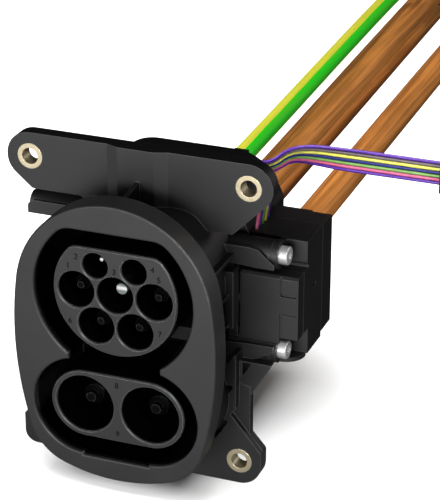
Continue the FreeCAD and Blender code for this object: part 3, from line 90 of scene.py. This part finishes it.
# Values that vary over a surface
class Value:
    """A number that varies over a surface; arithmetic on it gives another one."""

    def __init__(self, shading, socket):
        self.shading = shading
        self.socket = socket

    def math(self, operation, *others, clamp=False):
        settings = {"operation": operation, "use_clamp": clamp}
        return self.shading.node("ShaderNodeMath", settings, [self, *others])

    def __add__(self, other):
        return self.math("ADD", other)

    __radd__ = __add__

    def __sub__(self, other):
        return self.math("SUBTRACT", other)

    def __rsub__(self, other):
        return self.shading.node("ShaderNodeMath", {"operation": "SUBTRACT"}, [other, self])

    def __mul__(self, other):
        return self.math("MULTIPLY", other)

    def between(self, low, high):
        """0 below low, 1 above high, smooth in between."""
        settings = {"interpolation_type": "SMOOTHSTEP"}
        return self.shading.node("ShaderNodeMapRange", settings, [self, low, high])

    def clamped(self):
        return self.math("ADD", 0.0, clamp=True)


class Shading:
    """A tree of shading nodes, and the values that they give out."""

    def __init__(self, tree):
        self.tree = tree

    def node(self, kind, settings=None, inputs=(), out=0):
        """Add a node, set it up, then give its sockets their values or links."""
        made = self.tree.nodes.new(kind)
        for key, value in (settings or {}).items():
            setattr(made, key, value)
        named = inputs.items() if isinstance(inputs, dict) else enumerate(inputs)
        for key, value in named:
            if isinstance(value, Value):
                self.tree.links.new(value.socket, made.inputs[key])
            else:
                made.inputs[key].default_value = value
        return Value(self, made.outputs[out])

    def split(self, vector):
        """The X, Y and Z of a vector."""
        parts = self.tree.nodes.new("ShaderNodeSeparateXYZ")
        self.tree.links.new(vector.socket, parts.inputs[0])
        return [Value(self, parts.outputs[k]) for k in range(3)]

    def ray(self, kind):
        """1 for rays of one kind, such as Is Camera Ray."""
        return self.node("ShaderNodeLightPath", out=kind)


class Surface(Shading):
    """One finish: a material with its shader and nodes."""

    def __init__(self, name, color, roughness, metallic=0.0, specular=0.5, coat=0.0, coat_roughness=0.2):
        self.material = bpy.data.materials.new(name)
        self.material.use_nodes = True
        super().__init__(self.material.node_tree)
        self.shader = self.tree.nodes["Principled BSDF"]
        self.set("Base Color", (*color, 1.0))
        self.set("Roughness", roughness)
        self.set("Metallic", metallic)
        self.set("Specular IOR Level", specular)
        self.set("Coat Weight", coat)
        self.set("Coat Roughness", coat_roughness)
        self.place = self.node("ShaderNodeTexCoord", out="Object")

    def set(self, socket, value):
        self.shader.inputs[socket].default_value = value

    def feed(self, socket, value):
        self.tree.links.new(value.socket, self.shader.inputs[socket])

    def axes(self):
        """Object X, Y and Z in metres."""
        return self.split(self.place)

    def noise(self, scale, detail, place=None):
        found = {"Vector": place or self.place, "Scale": scale, "Detail": detail}
        return self.node("ShaderNodeTexNoise", inputs=found, out="Fac")

    def streaks(self, scales, detail):
        """Noise with its own scale along each axis."""
        stretched = self.node("ShaderNodeMapping", inputs={"Vector": self.place, "Scale": scales})
        return self.noise(1.0, detail, stretched)

    def mixed(self, fraction, low, high):
        """Colour low where fraction is 0, high where it is 1."""
        colours = {0: fraction, 6: self.rgba(low), 7: self.rgba(high)}
        return self.node("ShaderNodeMix", {"data_type": "RGBA"}, colours, out=2)

    def rgba(self, colour):
        return colour if isinstance(colour, Value) else (*colour, 1.0)

    def edge(self, radius, low, high):
        """1 on outside and inside edges, where the rounded normal leaves the flat one: where the finishes
        paint a highlight.
        """
        rounded = self.node("ShaderNodeBevel", {"samples": 6}, {"Radius": radius})
        flat = self.node("ShaderNodeNewGeometry", out="Normal")
        dot = {"operation": "DOT_PRODUCT"}
        cosine = self.node("ShaderNodeVectorMath", dot, [rounded, flat], out="Value")
        return rounded, (1.0 - cosine).between(low, high)

    def bump(self, height, distance, strength, normal=None):
        found = {"Height": height, "Distance": distance, "Strength": strength}
        if normal is not None:
            found["Normal"] = normal
        self.feed("Normal", self.node("ShaderNodeBump", inputs=found))


def tinted(colour, factor):
    return tuple(min(1.0, c * factor) for c in colour)


# Where the coupler opening's walls are painted darker as shade: the opening's middle height and its limits
# in metres, each limit fading over a range.
# FLAT_TO_FRONT is the cosine at which a face counts as looking forward
OPENING_Z = -0.024
OPENING_OUTWARD = (0.0005, 0.002)
OPENING_SIDES = (0.033, 0.034)
OPENING_MOUTH = (-0.0250, -0.0235)
OPENING_FLOOR = (0.0195, 0.0205)
FLANGE_FRONT = (-0.004, -0.003)
FLANGE_BACK = (0.007, 0.008)
FLAT_TO_FRONT = (0.9, 0.99)
INSERT_FACE = (-0.0229, -0.0215)


def shaded_opening_walls(surface):
    """1 on the walls of the coupler opening: they face its middle, behind the front frame's plate. There
    the housing is painted darker as shade.
    """
    x, y, z = surface.axes()
    nx, ny, nz = surface.split(surface.node("ShaderNodeNewGeometry", out="Normal"))
    outward = (nx * x + nz * (z - OPENING_Z)).between(*OPENING_OUTWARD)
    beside = x.math("ABSOLUTE").between(*OPENING_SIDES)
    behind = y.between(*OPENING_FLOOR)
    to_front = (0.0 - ny).between(*FLAT_TO_FRONT)
    on_flange = to_front * y.between(*FLANGE_FRONT) * (1.0 - y.between(*FLANGE_BACK))
    inside = (1.0 - beside) * (1.0 - behind) * (1.0 - on_flange)
    return (1.0 - outward) * inside * y.between(*OPENING_MOUTH)


def shaded_hole_walls(surface):
    """1 behind the inserts' front face, where the hole walls are painted darker as shade."""
    return surface.axes()[1].between(*INSERT_FACE)


# Finishes
def moulded(name, color, roughness, rim_highlight=0.3, grain=0.5, edge_radius=0.0005, walls_to_shade=None, specular=0.5):
    """Glass-filled plastic: a fine spark-eroded grain, faint flow clouds and edges lightened by a painted
    highlight.

    The walls function, where given, finds the walls of openings that run far in, which are made smoother
    and partly metallic and painted darker as shade.
    """
    made = Surface(name, color, roughness, specular=specular)
    cloud = made.noise(scale=38.0, detail=3.0)
    flow = made.streaks((60.0, 160.0, 22.0), detail=2.0)
    grains = made.noise(scale=3600.0, detail=2.0)
    normal, edge = made.edge(edge_radius, low=0.01, high=0.25)
    # Random mottling of the plastic's own tone, from its cloud, flow and grain
    shade = (cloud * 0.5 + flow * 0.3 + grains * 0.2).between(0.3, 0.7)
    body = made.mixed(shade, tinted(color, 0.8), tinted(color, 1.25))
    # Painted highlight: the edges lightened towards the grey of the rim level
    finish = made.mixed(edge * 0.9, body, (rim_highlight, rim_highlight, rim_highlight * 1.03))
    rough = roughness - 0.05 + cloud * 0.12 - edge * 0.1
    if walls_to_shade is not None:
        # Painted shade: the walls of the openings darkened to a tenth of the colour
        wall_shade = walls_to_shade(made)
        finish = made.mixed(wall_shade, finish, tinted(color, 0.1))
        rough = rough - wall_shade * 0.14
        made.feed("Metallic", wall_shade * 0.6)
    made.feed("Base Color", finish)
    made.feed("Roughness", rough.clamped())
    made.bump(grains + flow * 0.4, distance=0.00004, strength=grain, normal=normal)
    return made.material


def metal(name, color, roughness, marks_scale, depth, spots=0.0, bare=1.0):
    """Metal with fine tool marks, slight clouding and edges lightened by a painted highlight; bare is
    below 1 for a satin coat.
    """
    made = Surface(name, color, roughness, metallic=bare)
    marks = made.streaks(marks_scale, detail=3.0)
    cloud = made.noise(scale=180.0, detail=3.0)
    normal, rim_highlight = made.edge(0.00025, low=0.01, high=0.3)
    body = made.mixed(cloud.between(0.35, 0.75), color, tinted(color, 0.86 - spots))
    # Painted highlight: the edges lightened towards a lighter tint of the colour
    made.feed("Base Color", made.mixed(rim_highlight * 0.5, body, tinted(color, 1.15)))
    made.feed("Roughness", (roughness - 0.08 + marks * 0.16 + cloud * 0.06).clamped())
    made.bump(marks, distance=0.00002, strength=depth, normal=normal)
    return made.material


# The highlight painted across the middle pin's tip: its height and how it fades, where it stops on the
# left, and where the upper pins, painted light all over as a highlight, begin
PIN_HIGHLIGHT_Z = 0.0003
PIN_HIGHLIGHT_FADES = (0.0002, 0.0012)
PIN_HIGHLIGHT_LEFT = (0.0012, 0.0026)
PINS_HIGHLIGHTED_ABOVE = (0.004, 0.006)


def plated_contact():
    """Silver plating with a painted highlight across the middle pin's tip and over the upper pins, and
    elsewhere a darker satin grey that is painted shade.
    """
    made = Surface("plated_contact", (0.88, 0.88, 0.90), 0.22, metallic=1.0)
    x, _, z = made.axes()
    # Painted highlight: a stripe across the middle pin's tip, cut off on its left, and the whole of the
    # upper pins
    highlight_band = 1.0 - (z - PIN_HIGHLIGHT_Z).math("ABSOLUTE").between(*PIN_HIGHLIGHT_FADES)
    highlight_cut_left = (0.0 - x).between(*PIN_HIGHLIGHT_LEFT) * highlight_band
    painted_highlight = highlight_band.math("MAXIMUM", z.between(*PINS_HIGHLIGHTED_ABOVE)) * (1.0 - highlight_cut_left)
    marks = made.streaks((900.0, 60.0, 900.0), detail=3.0)
    # Painted shade: away from the highlight the plating is a dark grey, streaked by the tool marks
    satin = made.mixed(marks.between(0.3, 0.7), (0.20, 0.235, 0.22), (0.28, 0.32, 0.30))
    made.feed("Base Color", made.mixed(painted_highlight, satin, (0.90, 0.90, 0.91)))
    made.feed("Roughness", (marks * 0.16 + 0.16).clamped())
    made.bump(marks, distance=0.00002, strength=0.15)
    return made.material


# The flange bores' distance from the middle and their height, in millimetres
LOWER_BORE_X = 41.7
LOWER_BORE_Z = -75.3
UPPER_BORE_X = 45.0
UPPER_BORE_Z = 41.6
# How close the turned rings and turns lie, in radians to the metre
END_RINGS = 26000.0
BORE_TURNS = 15000.0


def turned_brass():
    """Turned bushings: rings round each bore on the end faces, fine turns inside, and edges lightened by a
    painted highlight.
    """
    color = (0.70, 0.61, 0.42)
    made = Surface("turned_brass", color, 0.34, metallic=0.85)
    x, y, z = made.axes()
    upper = z.math("GREATER_THAN", 0.0)
    beside = x.math("ABSOLUTE") - (upper * (UPPER_BORE_X - LOWER_BORE_X) + LOWER_BORE_X) * MM
    above = z - (upper * (UPPER_BORE_Z - LOWER_BORE_Z) + LOWER_BORE_Z) * MM
    radius = (beside * beside + above * above).math("SQRT")
    rings = (radius * END_RINGS).math("SINE") * 0.5 + (y * BORE_TURNS).math("SINE") * 0.3
    cloud = made.noise(scale=420.0, detail=3.0)
    normal, rim_highlight = made.edge(0.0003, low=0.01, high=0.3)
    body = made.mixed(cloud.between(0.4, 0.7), color, (0.60, 0.51, 0.33))
    # Painted highlight: the edges lightened towards a pale brass
    made.feed("Base Color", made.mixed(rim_highlight * 0.6, body, (0.95, 0.90, 0.70)))
    made.feed("Roughness", (cloud * 0.16 + 0.26).clamped())
    made.bump(rings, distance=0.00002, strength=0.35, normal=normal)
    return made.material


def orange_sheath():
    """Extruded cable sheath: long lighter and darker streaks, partly drawn marks and partly painted shade
    and highlight; faint smudges and a soft gloss.
    """
    color = (0.56, 0.21, 0.045)
    made = Surface("orange_sheath", color, 0.36, coat=0.15, coat_roughness=0.22)
    streaks = made.streaks((520.0, 9.0, 520.0), detail=3.0)
    smudge = made.noise(scale=55.0, detail=4.0)
    fine = made.streaks((2600.0, 240.0, 2600.0), detail=1.0)
    # Lighter and darker streaks along the cable: partly drawn marks, partly painted shade and highlight
    streak_and_shade_tone = (streaks * 0.85 + smudge * 0.15).between(0.36, 0.66)
    made.feed("Base Color", made.mixed(streak_and_shade_tone, tinted(color, 0.58), tinted(color, 1.1)))
    made.feed("Roughness", (smudge * 0.15 + 0.30).clamped())
    made.bump(streaks + fine * 0.4, distance=0.00005, strength=0.5)
    return made.material


# The earth cable's middle line: its X, and its height, which rises behind a bend and ends level. Then the
# direction that the stripe's middle faces, to the left and up, and how its edge fades and wanders
EARTH_X = -0.0008
EARTH_Z = 0.0037
EARTH_BEND_Y = 0.0742
EARTH_RISE_LENGTH = 0.2489
EARTH_RISE = 0.0334
STRIPE_SIDE = (0.9063, 0.4226)
STRIPE_EDGE = (0.00002, 0.00022)
STRIPE_WANDER = 0.0004


def earth_sheath():
    """Green sheath with a yellow stripe along its upper left side."""
    green = (0.014, 0.54, 0.01)
    yellow = (0.56, 0.54, 0.04)
    made = Surface("earth_sheath", green, 0.36, coat=0.15, coat_roughness=0.22)
    x, y, z = made.axes()
    along = (y - EARTH_BEND_Y).math("MAXIMUM", 0.0).math("MINIMUM", EARTH_RISE_LENGTH)
    above = z - EARTH_Z - along * EARTH_RISE
    side = above * STRIPE_SIDE[1] - (x - EARTH_X) * STRIPE_SIDE[0]
    wander = made.streaks((0.0, 40.0, 0.0), detail=2.0)
    stripe = (side + (wander - 0.5) * STRIPE_WANDER).between(*STRIPE_EDGE)
    streaks = made.streaks((700.0, 10.0, 700.0), detail=3.0)
    body = made.mixed(stripe, green, yellow)
    made.feed("Base Color", made.mixed(streaks.between(0.4, 0.75) * 0.22, body, (0.16, 0.30, 0.01)))
    made.feed("Roughness", (streaks * 0.16 + 0.32).clamped())
    made.bump(streaks, distance=0.00004, strength=0.5)
    return made.material


def lead_sheath(name, color):
    """Thin smooth insulation of a signal lead."""
    made = Surface(name, color, 0.34, coat=0.15, coat_roughness=0.2)
    smudge = made.noise(scale=420.0, detail=3.0)
    made.feed("Base Color", made.mixed(smudge.between(0.35, 0.7), color, tinted(color, 0.78)))
    made.feed("Roughness", (smudge * 0.2 + 0.26).clamped())
    made.bump(made.noise(scale=5200.0, detail=1.0), distance=0.00001, strength=0.3)
    return made.material


def seal_rubber():
    """Matte sealing rubber with bloom in patches."""
    color = (0.022, 0.022, 0.023)
    made = Surface("seal_rubber", color, 0.78, specular=0.3)
    bloom = made.noise(scale=260.0, detail=4.0)
    grains = made.noise(scale=4800.0, detail=2.0)
    made.feed("Base Color", made.mixed(bloom.between(0.45, 0.8), color, tinted(color, 2.0)))
    made.feed("Roughness", (bloom * 0.15 + 0.7).clamped())
    made.bump(grains + bloom, distance=0.00003, strength=0.5)
    return made.material


# The board's tracks: radians to the metre along X and Z, and where the first one lies
TRACKS_ALONG_X = 2600.0
TRACKS_ALONG_Z = 900.0
TRACKS_START = 0.4


def circuit_board():
    """Solder mask over copper tracks and tinned rings."""
    made = Surface("circuit_board", (0.02, 0.16, 0.06), 0.35, coat=0.3)
    x, _, z = made.axes()
    across = (x * TRACKS_ALONG_X).math("SINE").between(0.55, 0.7)
    tracks = across * (z * TRACKS_ALONG_Z + TRACKS_START).math("SINE").between(0.0, 0.2)
    blotch = made.noise(scale=500.0, detail=2.0)
    mask = made.mixed(tracks, (0.016, 0.13, 0.05), (0.05, 0.26, 0.11))
    made.feed("Base Color", made.mixed(blotch.between(0.66, 0.7) * 0.5, mask, (0.4, 0.42, 0.4)))
    made.feed("Roughness", (blotch * 0.2 + 0.25).clamped())
    made.bump(tracks, distance=0.00004, strength=0.6)
    return made.material


BLACK = (0.020, 0.0203, 0.0212)
DEEP_BLACK = (0.003, 0.003, 0.0032)
FINISH = {
    # The housing and the inserts are painted darker as shade on the walls of their openings
    "housing_black": moulded("housing_plastic", BLACK, 0.42, walls_to_shade=shaded_opening_walls),
    # Where a rim level is given, it is the grey of the highlight painted along that finish's edges
    "insert_black": moulded("insert_plastic", BLACK, 0.40, rim_highlight=0.7, grain=0.35, edge_radius=0.0004,
                            walls_to_shade=shaded_hole_walls),
    # A copy of the housing plastic painted lighter, standing in for more light on the actuator
    "actuator_black_painted_lighter": moulded("actuator_plastic_painted_lighter", tinted(BLACK, 1.25), 0.44, rim_highlight=0.12),
    "bush_brass": turned_brass(),
    "contact_silver": plated_contact(),
    "cap_black": moulded("touch_cap", DEEP_BLACK, 0.4, rim_highlight=0.5, grain=0.2, edge_radius=0.0003,
                         specular=0.04),
    "numeral_face": moulded("dark_numerals", DEEP_BLACK, 0.5, rim_highlight=0.02, grain=0.2, specular=0.12),
    "screw_steel": metal("screw_steel", (0.80, 0.80, 0.81), 0.28, (300.0, 1500.0, 1500.0), depth=0.5,
                         bare=0.6),
    "retainer_grey": moulded("retainer_plastic", (0.24, 0.24, 0.25), 0.55, rim_highlight=0.34),
    "board_green": circuit_board(),
    "gear_white": moulded("acetal_gear", (0.72, 0.71, 0.66), 0.4, rim_highlight=0.8, grain=0.2),
    "steel": metal("drive_steel", (0.58, 0.58, 0.60), 0.32, (40.0, 900.0, 900.0), depth=0.4, spots=0.06),
    "seal_rubber": seal_rubber(),
    "cable_orange": orange_sheath(),
    "cable_green_yellow": earth_sheath(),
    "lug_tin": metal("tinned_lug", (0.80, 0.80, 0.78), 0.38, (700.0, 700.0, 700.0), depth=0.4, spots=0.1),
    "lead_violet": lead_sheath("lead_violet_skin", (0.10, 0.022, 0.36)),
    "lead_grey": lead_sheath("lead_grey_skin", (0.17, 0.13, 0.135)),
    "lead_yellow": lead_sheath("lead_yellow_skin", (0.92, 0.90, 0.14)),
    "lead_blue": lead_sheath("lead_blue_skin", (0.01, 0.017, 0.2)),
    "lead_green": lead_sheath("lead_green_skin", (0.21, 0.42, 0.10)),
    "lead_red": lead_sheath("lead_red_skin", (0.80, 0.15, 0.30)),
    "plug_black": moulded("plug_plastic", (0.018, 0.018, 0.020), 0.5, grain=0.4),
    "switch_black": moulded("switch_plastic", (0.03, 0.03, 0.03), 0.45),
}


def paint(piece, finish):
    """Put one finish on all of a piece's faces."""
    piece.data.materials.clear()
    piece.data.materials.append(finish)


SLOT_OF = {row["node"]: row["material_slot"] for row in frame["record"]["subparts"]}
for node_name, node in NODES.items():
    paint(node, FINISH[SLOT_OF[node_name]])
# The actuator's parts get the lighter copy: painted light in place of lamp light on them
for node_name in ("actuator_case", "actuator_cover", "actuator_cap"):
    paint(NODES[node_name], FINISH["actuator_black_painted_lighter"])


# Cables and leads, all sizes in millimetres but for the lengths of the cords
LINE_STEPS = 24
POWER_SIDES = 8
LEAD_SIDES = 4
LEAD_RADIUS = 0.7


def line_piece(name, points, radius, finish_slot, sides):
    """A round cable on one smooth line that the given points lead."""
    curve = bpy.data.curves.new(name, "CURVE")
    curve.dimensions = "3D"
    line = curve.splines.new("NURBS")
    line.points.add(len(points) - 1)
    for point, place in zip(line.points, points):
        point.co = (*(Vector(place) * MM), 1.0)
    line.order_u = 3
    line.use_endpoint_u = True
    line.resolution_u = LINE_STEPS
    line.use_smooth = True
    curve.bevel_depth = radius * MM
    curve.bevel_resolution = sides
    curve.use_fill_caps = True
    piece = bpy.data.objects.new(name, curve)
    bpy.context.scene.collection.objects.link(piece)
    curve.materials.append(FINISH[finish_slot])
    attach(piece, "housing")
    return piece


# Cable, radius, slot, start, last bend's Y and Z, and Y where it leaves its gland; then its length in
# metres, the kind of its far end and the part on that end
STRAIGHT = 30.0
POWER_CABLES = [
    ("earth", 4.3, "cable_green_yellow", (-0.8, 59.1, 3.7), (308, 12.018), 69.5,
     0.279, "fitting", "lug_earth"),
    ("ac", 7.0, "cable_orange", (2, 59.1, -15.8), (377, -6.011), 73.5,
     0.348, "connector", "ac_plug"),
    ("dc_plus", 7.0, "cable_orange", (-13.7, 43.5, -45.8), (468, -34.754), 64,
     0.455, "fitting", "lug_dc_plus"),
    ("dc_minus", 7.0, "cable_orange", (13.7, 43.5, -45.8), (375, -39.167), 64,
     0.362, "fitting", "lug_dc_minus"),
]
cables = []
for name, radius, slot_name, start, bend, leaves_y, length, far_end, end_node in POWER_CABLES:
    x, y, z = start
    bend_y, bend_z = bend
    route = [(x, y, z), (x, y + STRAIGHT, z), (x, bend_y, bend_z), (x, bend_y + STRAIGHT, bend_z)]
    cable = line_piece(name + "_cable", route, radius, slot_name, POWER_SIDES)
    cables.append(cable)
    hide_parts("cable_" + name)

# The middle lead's way from its start, and how each lead lies beside the next one there
LEAD_START = Vector((18.0, 61.5, 22.4))
LEAD_STEPS = [
    ((0, 0, 0), (0, 0, 1.45)),
    ((0, 5.5, 0), (0, 0, 1.45)),
    ((4, 11, -3.9), (0, -0.7, 1.27)),
    ((10.5, 12.3, -2.2), (0, -1.1, 0.95)),
    ((17, 13, 3.4), (0, -0.9, 1.14)),
    ((25, 14.5, 4.2), (0, -0.4, 1.39)),
    ((37, 15.8, 3.5), (0, 0, 1.45)),
    ((59, 16.2, 3.4), (0, 0, 1.45)),
    ((80, 16.2, 3.4), (0, 0, 1.45)),
]
LEAD_EXIT = Vector((0, 3, 0))
LEAD_COLOURS = ["violet", "grey", "yellow", "blue", "green", "red", "purple"]
MIDDLE_LEAD = 3
for k, colour in enumerate(LEAD_COLOURS):
    beyond = MIDDLE_LEAD - k
    route = [LEAD_START + Vector(step) + Vector(beside) * beyond for step, beside in LEAD_STEPS]
    slot_name = "lead_violet" if colour == "purple" else "lead_" + colour
    lead = line_piece("signal_" + colour, route, LEAD_RADIUS, slot_name, LEAD_SIDES)
    cables.append(lead)
    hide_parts("lead_" + colour)
    tuple((route[0] + LEAD_EXIT) * MM)

# The actuator's short leads: the first one's foot, the way to the next, and the steps of each
SHORT_FOOT_X = 39.6
SHORT_FOOT_Y = 23.7
SHORT_FOOT_Z = 14.6
SHORT_PITCH = 3.1
SHORT_STEPS = [(0, 0, 0), (0, 0, 1.6), (0, 3.2, 7.0), (-2.844, 5.0, 8.2), (-8.044, 6.2, 5.6)]
for k, colour in enumerate(["red", "violet", "green", "yellow", "violet"]):
    foot = Vector((SHORT_FOOT_X, SHORT_FOOT_Y + SHORT_PITCH * k, SHORT_FOOT_Z))
    route = [foot + Vector(step) for step in SHORT_STEPS]
    short = line_piece("actuator_lead_%d" % (k + 1), route, LEAD_RADIUS, "lead_" + colour, LEAD_SIDES)
    if k == 0:
        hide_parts("actuator_leads")


# Thin webs that close the lowest windows beside the lower ears, in millimetres
WEB_HALF_WIDTH = 6.0
WEB_HALF_HEIGHT = 9.5
WEB_THICKNESS = 1.2
WEB_ROUNDING = 0.2
WEB_X = 32.5
WEB_Y = 5.8
WEB_Z = -65.5


def window_web(name, side):
    shape = bmesh.new()
    bmesh.ops.create_grid(shape, x_segments=1, y_segments=1, size=1.0)
    bmesh.ops.scale(shape, verts=shape.verts, vec=(WEB_HALF_WIDTH * MM, WEB_HALF_HEIGHT * MM, 1.0))
    bmesh.ops.rotate(shape, verts=shape.verts, matrix=Matrix.Rotation(math.pi / 2, 3, "X"))
    bmesh.ops.translate(shape, verts=shape.verts, vec=(side * WEB_X * MM, WEB_Y * MM, WEB_Z * MM))
    bmesh.ops.solidify(shape, geom=shape.faces[:], thickness=WEB_THICKNESS * MM)
    bmesh.ops.bevel(shape, geom=shape.edges[:], offset=WEB_ROUNDING * MM, segments=2, profile=0.5,
                    affect="EDGES", material=-1)
    bmesh.ops.recalc_face_normals(shape, faces=shape.faces)
    mesh = bpy.data.meshes.new(name)
    shape.to_mesh(mesh)
    shape.free()
    piece = bpy.data.objects.new(name, mesh)
    bpy.context.scene.collection.objects.link(piece)
    paint(piece, FINISH["housing_black"])
    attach(piece, "housing")


window_web("window_web_left", -1)
window_web("window_web_right", 1)

# Raised numerals beside the contact holes: each with its X and Z, in millimetres
NUMERAL_Y = -23.5
NUMERAL_HEIGHT = 3.3
NUMERAL_RELIEF = 0.16
NUMERALS = [
    ("1", -19.0, 9.7),
    ("2", -15.6, 13.8),
    ("3", 0.0, 9.8),
    ("4", 15.7, 13.4),
    ("5", 18.3, 9.6),
    ("6", -18.8, -13.5),
    ("7", 18.4, -12.9),
    ("8", 0.0, -38.4),
    ("9", 0.0, -59.6),
]


def numeral(name, text, x, z):
    """A plain raised number on the insert's face, readable from the front."""
    letters = bpy.data.curves.new(name, "FONT")
    letters.body = text
    letters.size = NUMERAL_HEIGHT * MM
    letters.align_x = "CENTER"
    letters.align_y = "CENTER"
    letters.extrude = NUMERAL_RELIEF * MM
    flat = bpy.data.objects.new(name + "_text", letters)
    bpy.context.scene.collection.objects.link(flat)
    bpy.context.view_layer.update()
    mesh = bpy.data.meshes.new_from_object(flat.evaluated_get(bpy.context.evaluated_depsgraph_get()))
    bpy.data.objects.remove(flat)
    upright = Matrix.Rotation(math.pi / 2, 4, "X")
    mesh.transform(Matrix.Translation(Vector((x, NUMERAL_Y, z)) * MM) @ upright)
    piece = bpy.data.objects.new(name, mesh)
    bpy.context.scene.collection.objects.link(piece)
    paint(piece, FINISH["numeral_face"])
    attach(piece, "housing")


for text, x, z in NUMERALS:
    numeral("numeral_" + text, text, x, z)

# Floor and backdrop: the strengths that reflections see behind the object and that everything else sees,
# the floor's own glow under the object and the distances over which it whitens, and where the white front
# begins, in metres on the floor and as a direction's Y in the backdrop
REAR_GLOSS = 0.02
AMBIENT = 0.04
FLOOR_GLOW = 0.05
FLOOR_WHITENS = (0.06, 0.14)
FLOOR_FRONT = (-0.1, 0.24)
BACKDROP_FRONT = (0.25, 0.75)
FLOOR_HALF = 4.0
FLOOR_MIDDLE_Y = 0.05
FLOOR_COLOUR = (0.80, 0.80, 0.80, 1.0)
FLOOR_ROUGHNESS = 0.9
WHITE = (1.0, 1.0, 1.0, 1.0)


def seen_clear(shading):
    """1 for camera and transmission rays."""
    return shading.ray("Is Camera Ray").math("MAXIMUM", shading.ray("Is Transmission Ray"))


def add_floor():
    """A pale floor that shows white to the camera and in reflections, and keeps the shadow."""
    shape = bmesh.new()
    bmesh.ops.create_grid(shape, x_segments=1, y_segments=1, size=FLOOR_HALF)
    bmesh.ops.translate(shape, verts=shape.verts, vec=(0.0, 0.0, FLOOR_Z))
    mesh = bpy.data.meshes.new("floor")
    shape.to_mesh(mesh)
    shape.free()
    made = bpy.data.objects.new("floor", mesh)
    bpy.context.scene.collection.objects.link(made)
    material = bpy.data.materials.new("pale_floor")
    material.use_nodes = True
    shading = Shading(material.node_tree)
    shader = material.node_tree.nodes["Principled BSDF"]
    shader.inputs["Base Color"].default_value = FLOOR_COLOUR
    shader.inputs["Roughness"].default_value = FLOOR_ROUGHNESS
    shader.inputs["Specular IOR Level"].default_value = 0.0
    x, y, _ = shading.split(shading.node("ShaderNodeTexCoord", out="Object"))
    along = y - FLOOR_MIDDLE_Y
    aside = (x * x + along * along).math("SQRT").between(*FLOOR_WHITENS)
    glow = aside * (1.0 - FLOOR_GLOW) + FLOOR_GLOW
    lift = shading.node("ShaderNodeEmission", inputs={"Strength": glow})
    lit = shading.node("ShaderNodeAddShader", inputs=[Value(shading, shader.outputs[0]), lift])
    before = (0.0 - y).between(*FLOOR_FRONT)
    glossy = shading.ray("Is Glossy Ray")
    mirrored = glossy * (before * (1.0 - REAR_GLOSS) + REAR_GLOSS) + (1.0 - glossy) * AMBIENT
    unseen = shading.node("ShaderNodeEmission", inputs={"Strength": mirrored})
    both = shading.node("ShaderNodeMixShader", inputs=[seen_clear(shading), unseen, lit])
    shading.tree.links.new(both.socket, shading.tree.nodes["Material Output"].inputs["Surface"])
    mesh.materials.append(material)
    return made


def add_world():
    """White behind the object, a white front for reflections and a dim rear, and plain light all round."""
    world = bpy.data.worlds.new("studio")
    bpy.context.scene.world = world
    world.use_nodes = True
    shading = Shading(world.node_tree)
    sky = world.node_tree.nodes["Background"]
    sky.inputs["Color"].default_value = WHITE
    y = shading.split(shading.node("ShaderNodeTexCoord", out="Generated"))[1]
    mirrored = (0.0 - y).between(*BACKDROP_FRONT) * (1.0 - REAR_GLOSS) + REAR_GLOSS
    clear = seen_clear(shading)
    glossy = shading.ray("Is Glossy Ray")
    plain = (1.0 - clear) * (1.0 - glossy) * AMBIENT
    strength = clear + glossy * mirrored + plain
    world.node_tree.links.new(strength.socket, sky.inputs["Strength"])


# Lamps: what each lights, its place and aim, its power in watts, and its width and height
BODY_AIM = (0.0, 0.0, -0.02)
FLOOR_AIM = (0.0, 0.03, FLOOR_Z)
CABLE_AIM = (0.03, 0.2, 0.0)
FLOOR_LAMP_PLACE = (0.02, -0.38, 0.9)
LAMPS = [
    ("key", "body", (0.0, -1.25, 0.05), BODY_AIM, 12.0, (1.1, 0.45)),
    ("rim_highlight", "body", (0.8, 0.65, 0.3), (0.0, 0.05, -0.02), 1.2, (0.5, 0.5)),
    ("edge_light", "edges", (0.72, -0.58, 0.6), BODY_AIM, 8.0, (0.25, 0.25)),
    ("floor_behind", "floor", FLOOR_LAMP_PLACE, FLOOR_AIM, 9.0, (0.4, 0.4)),
    ("floor_under", "floor", FLOOR_LAMP_PLACE, FLOOR_AIM, 9.5, (0.4, 0.4)),
    ("cable_above", "cables", (0.0, -0.1, 0.95), CABLE_AIM, 9.5, (0.4, 0.4)),
    ("cable_left", "cables", (-0.7, -0.25, 0.45), CABLE_AIM, 8.0, (0.4, 0.4)),
    ("cable_right", "cables", (0.75, -0.45, 0.1), CABLE_AIM, 5.0, (0.4, 0.4)),
]
# Words in the names of the parts that the edge light lights, and of those that throw a floor lamp's shadow
EDGED = ("face_frame", "insert", "bush", "screw")
SHADOW_OF = {
    "floor_behind": ("insert", "rear"),
    "floor_under": ("insert", "rear", "face_frame"),
}


def collection_of(name, pieces):
    made = bpy.data.collections.new(name)
    for piece in pieces:
        made.objects.link(piece)
    return made


def nodes_like(words):
    return [NODES[name] for name in NODES if any(word in name for word in words)]


def add_lamp(name, lights, place, aim, power, size):
    lamp = bpy.data.lights.new(name, "AREA")
    lamp.energy = power
    lamp.shape = "RECTANGLE"
    lamp.size, lamp.size_y = size
    light = bpy.data.objects.new(name, lamp)
    bpy.context.scene.collection.objects.link(light)
    light.location = place
    light.rotation_euler = (Vector(aim) - Vector(place)).to_track_quat("-Z", "Y").to_euler()
    light.light_linking.receiver_collection = lights
    if name in SHADOW_OF:
        blockers = nodes_like(SHADOW_OF[name])
        light.light_linking.blocker_collection = collection_of(name + "_blockers", blockers)


floor = add_floor()
add_world()
shown = [piece for piece in bpy.context.scene.objects if piece.type in ("MESH", "CURVE")]
LIT = {
    "body": collection_of("on_body", [piece for piece in shown if piece is not floor]),
    "edges": collection_of("on_edges", nodes_like(EDGED)),
    "floor": collection_of("on_floor", [floor]),
    "cables": collection_of("on_cables", cables),
}
for name, group, place, aim, power, size in LAMPS:
    add_lamp(name, LIT[group], place, aim, power, size)
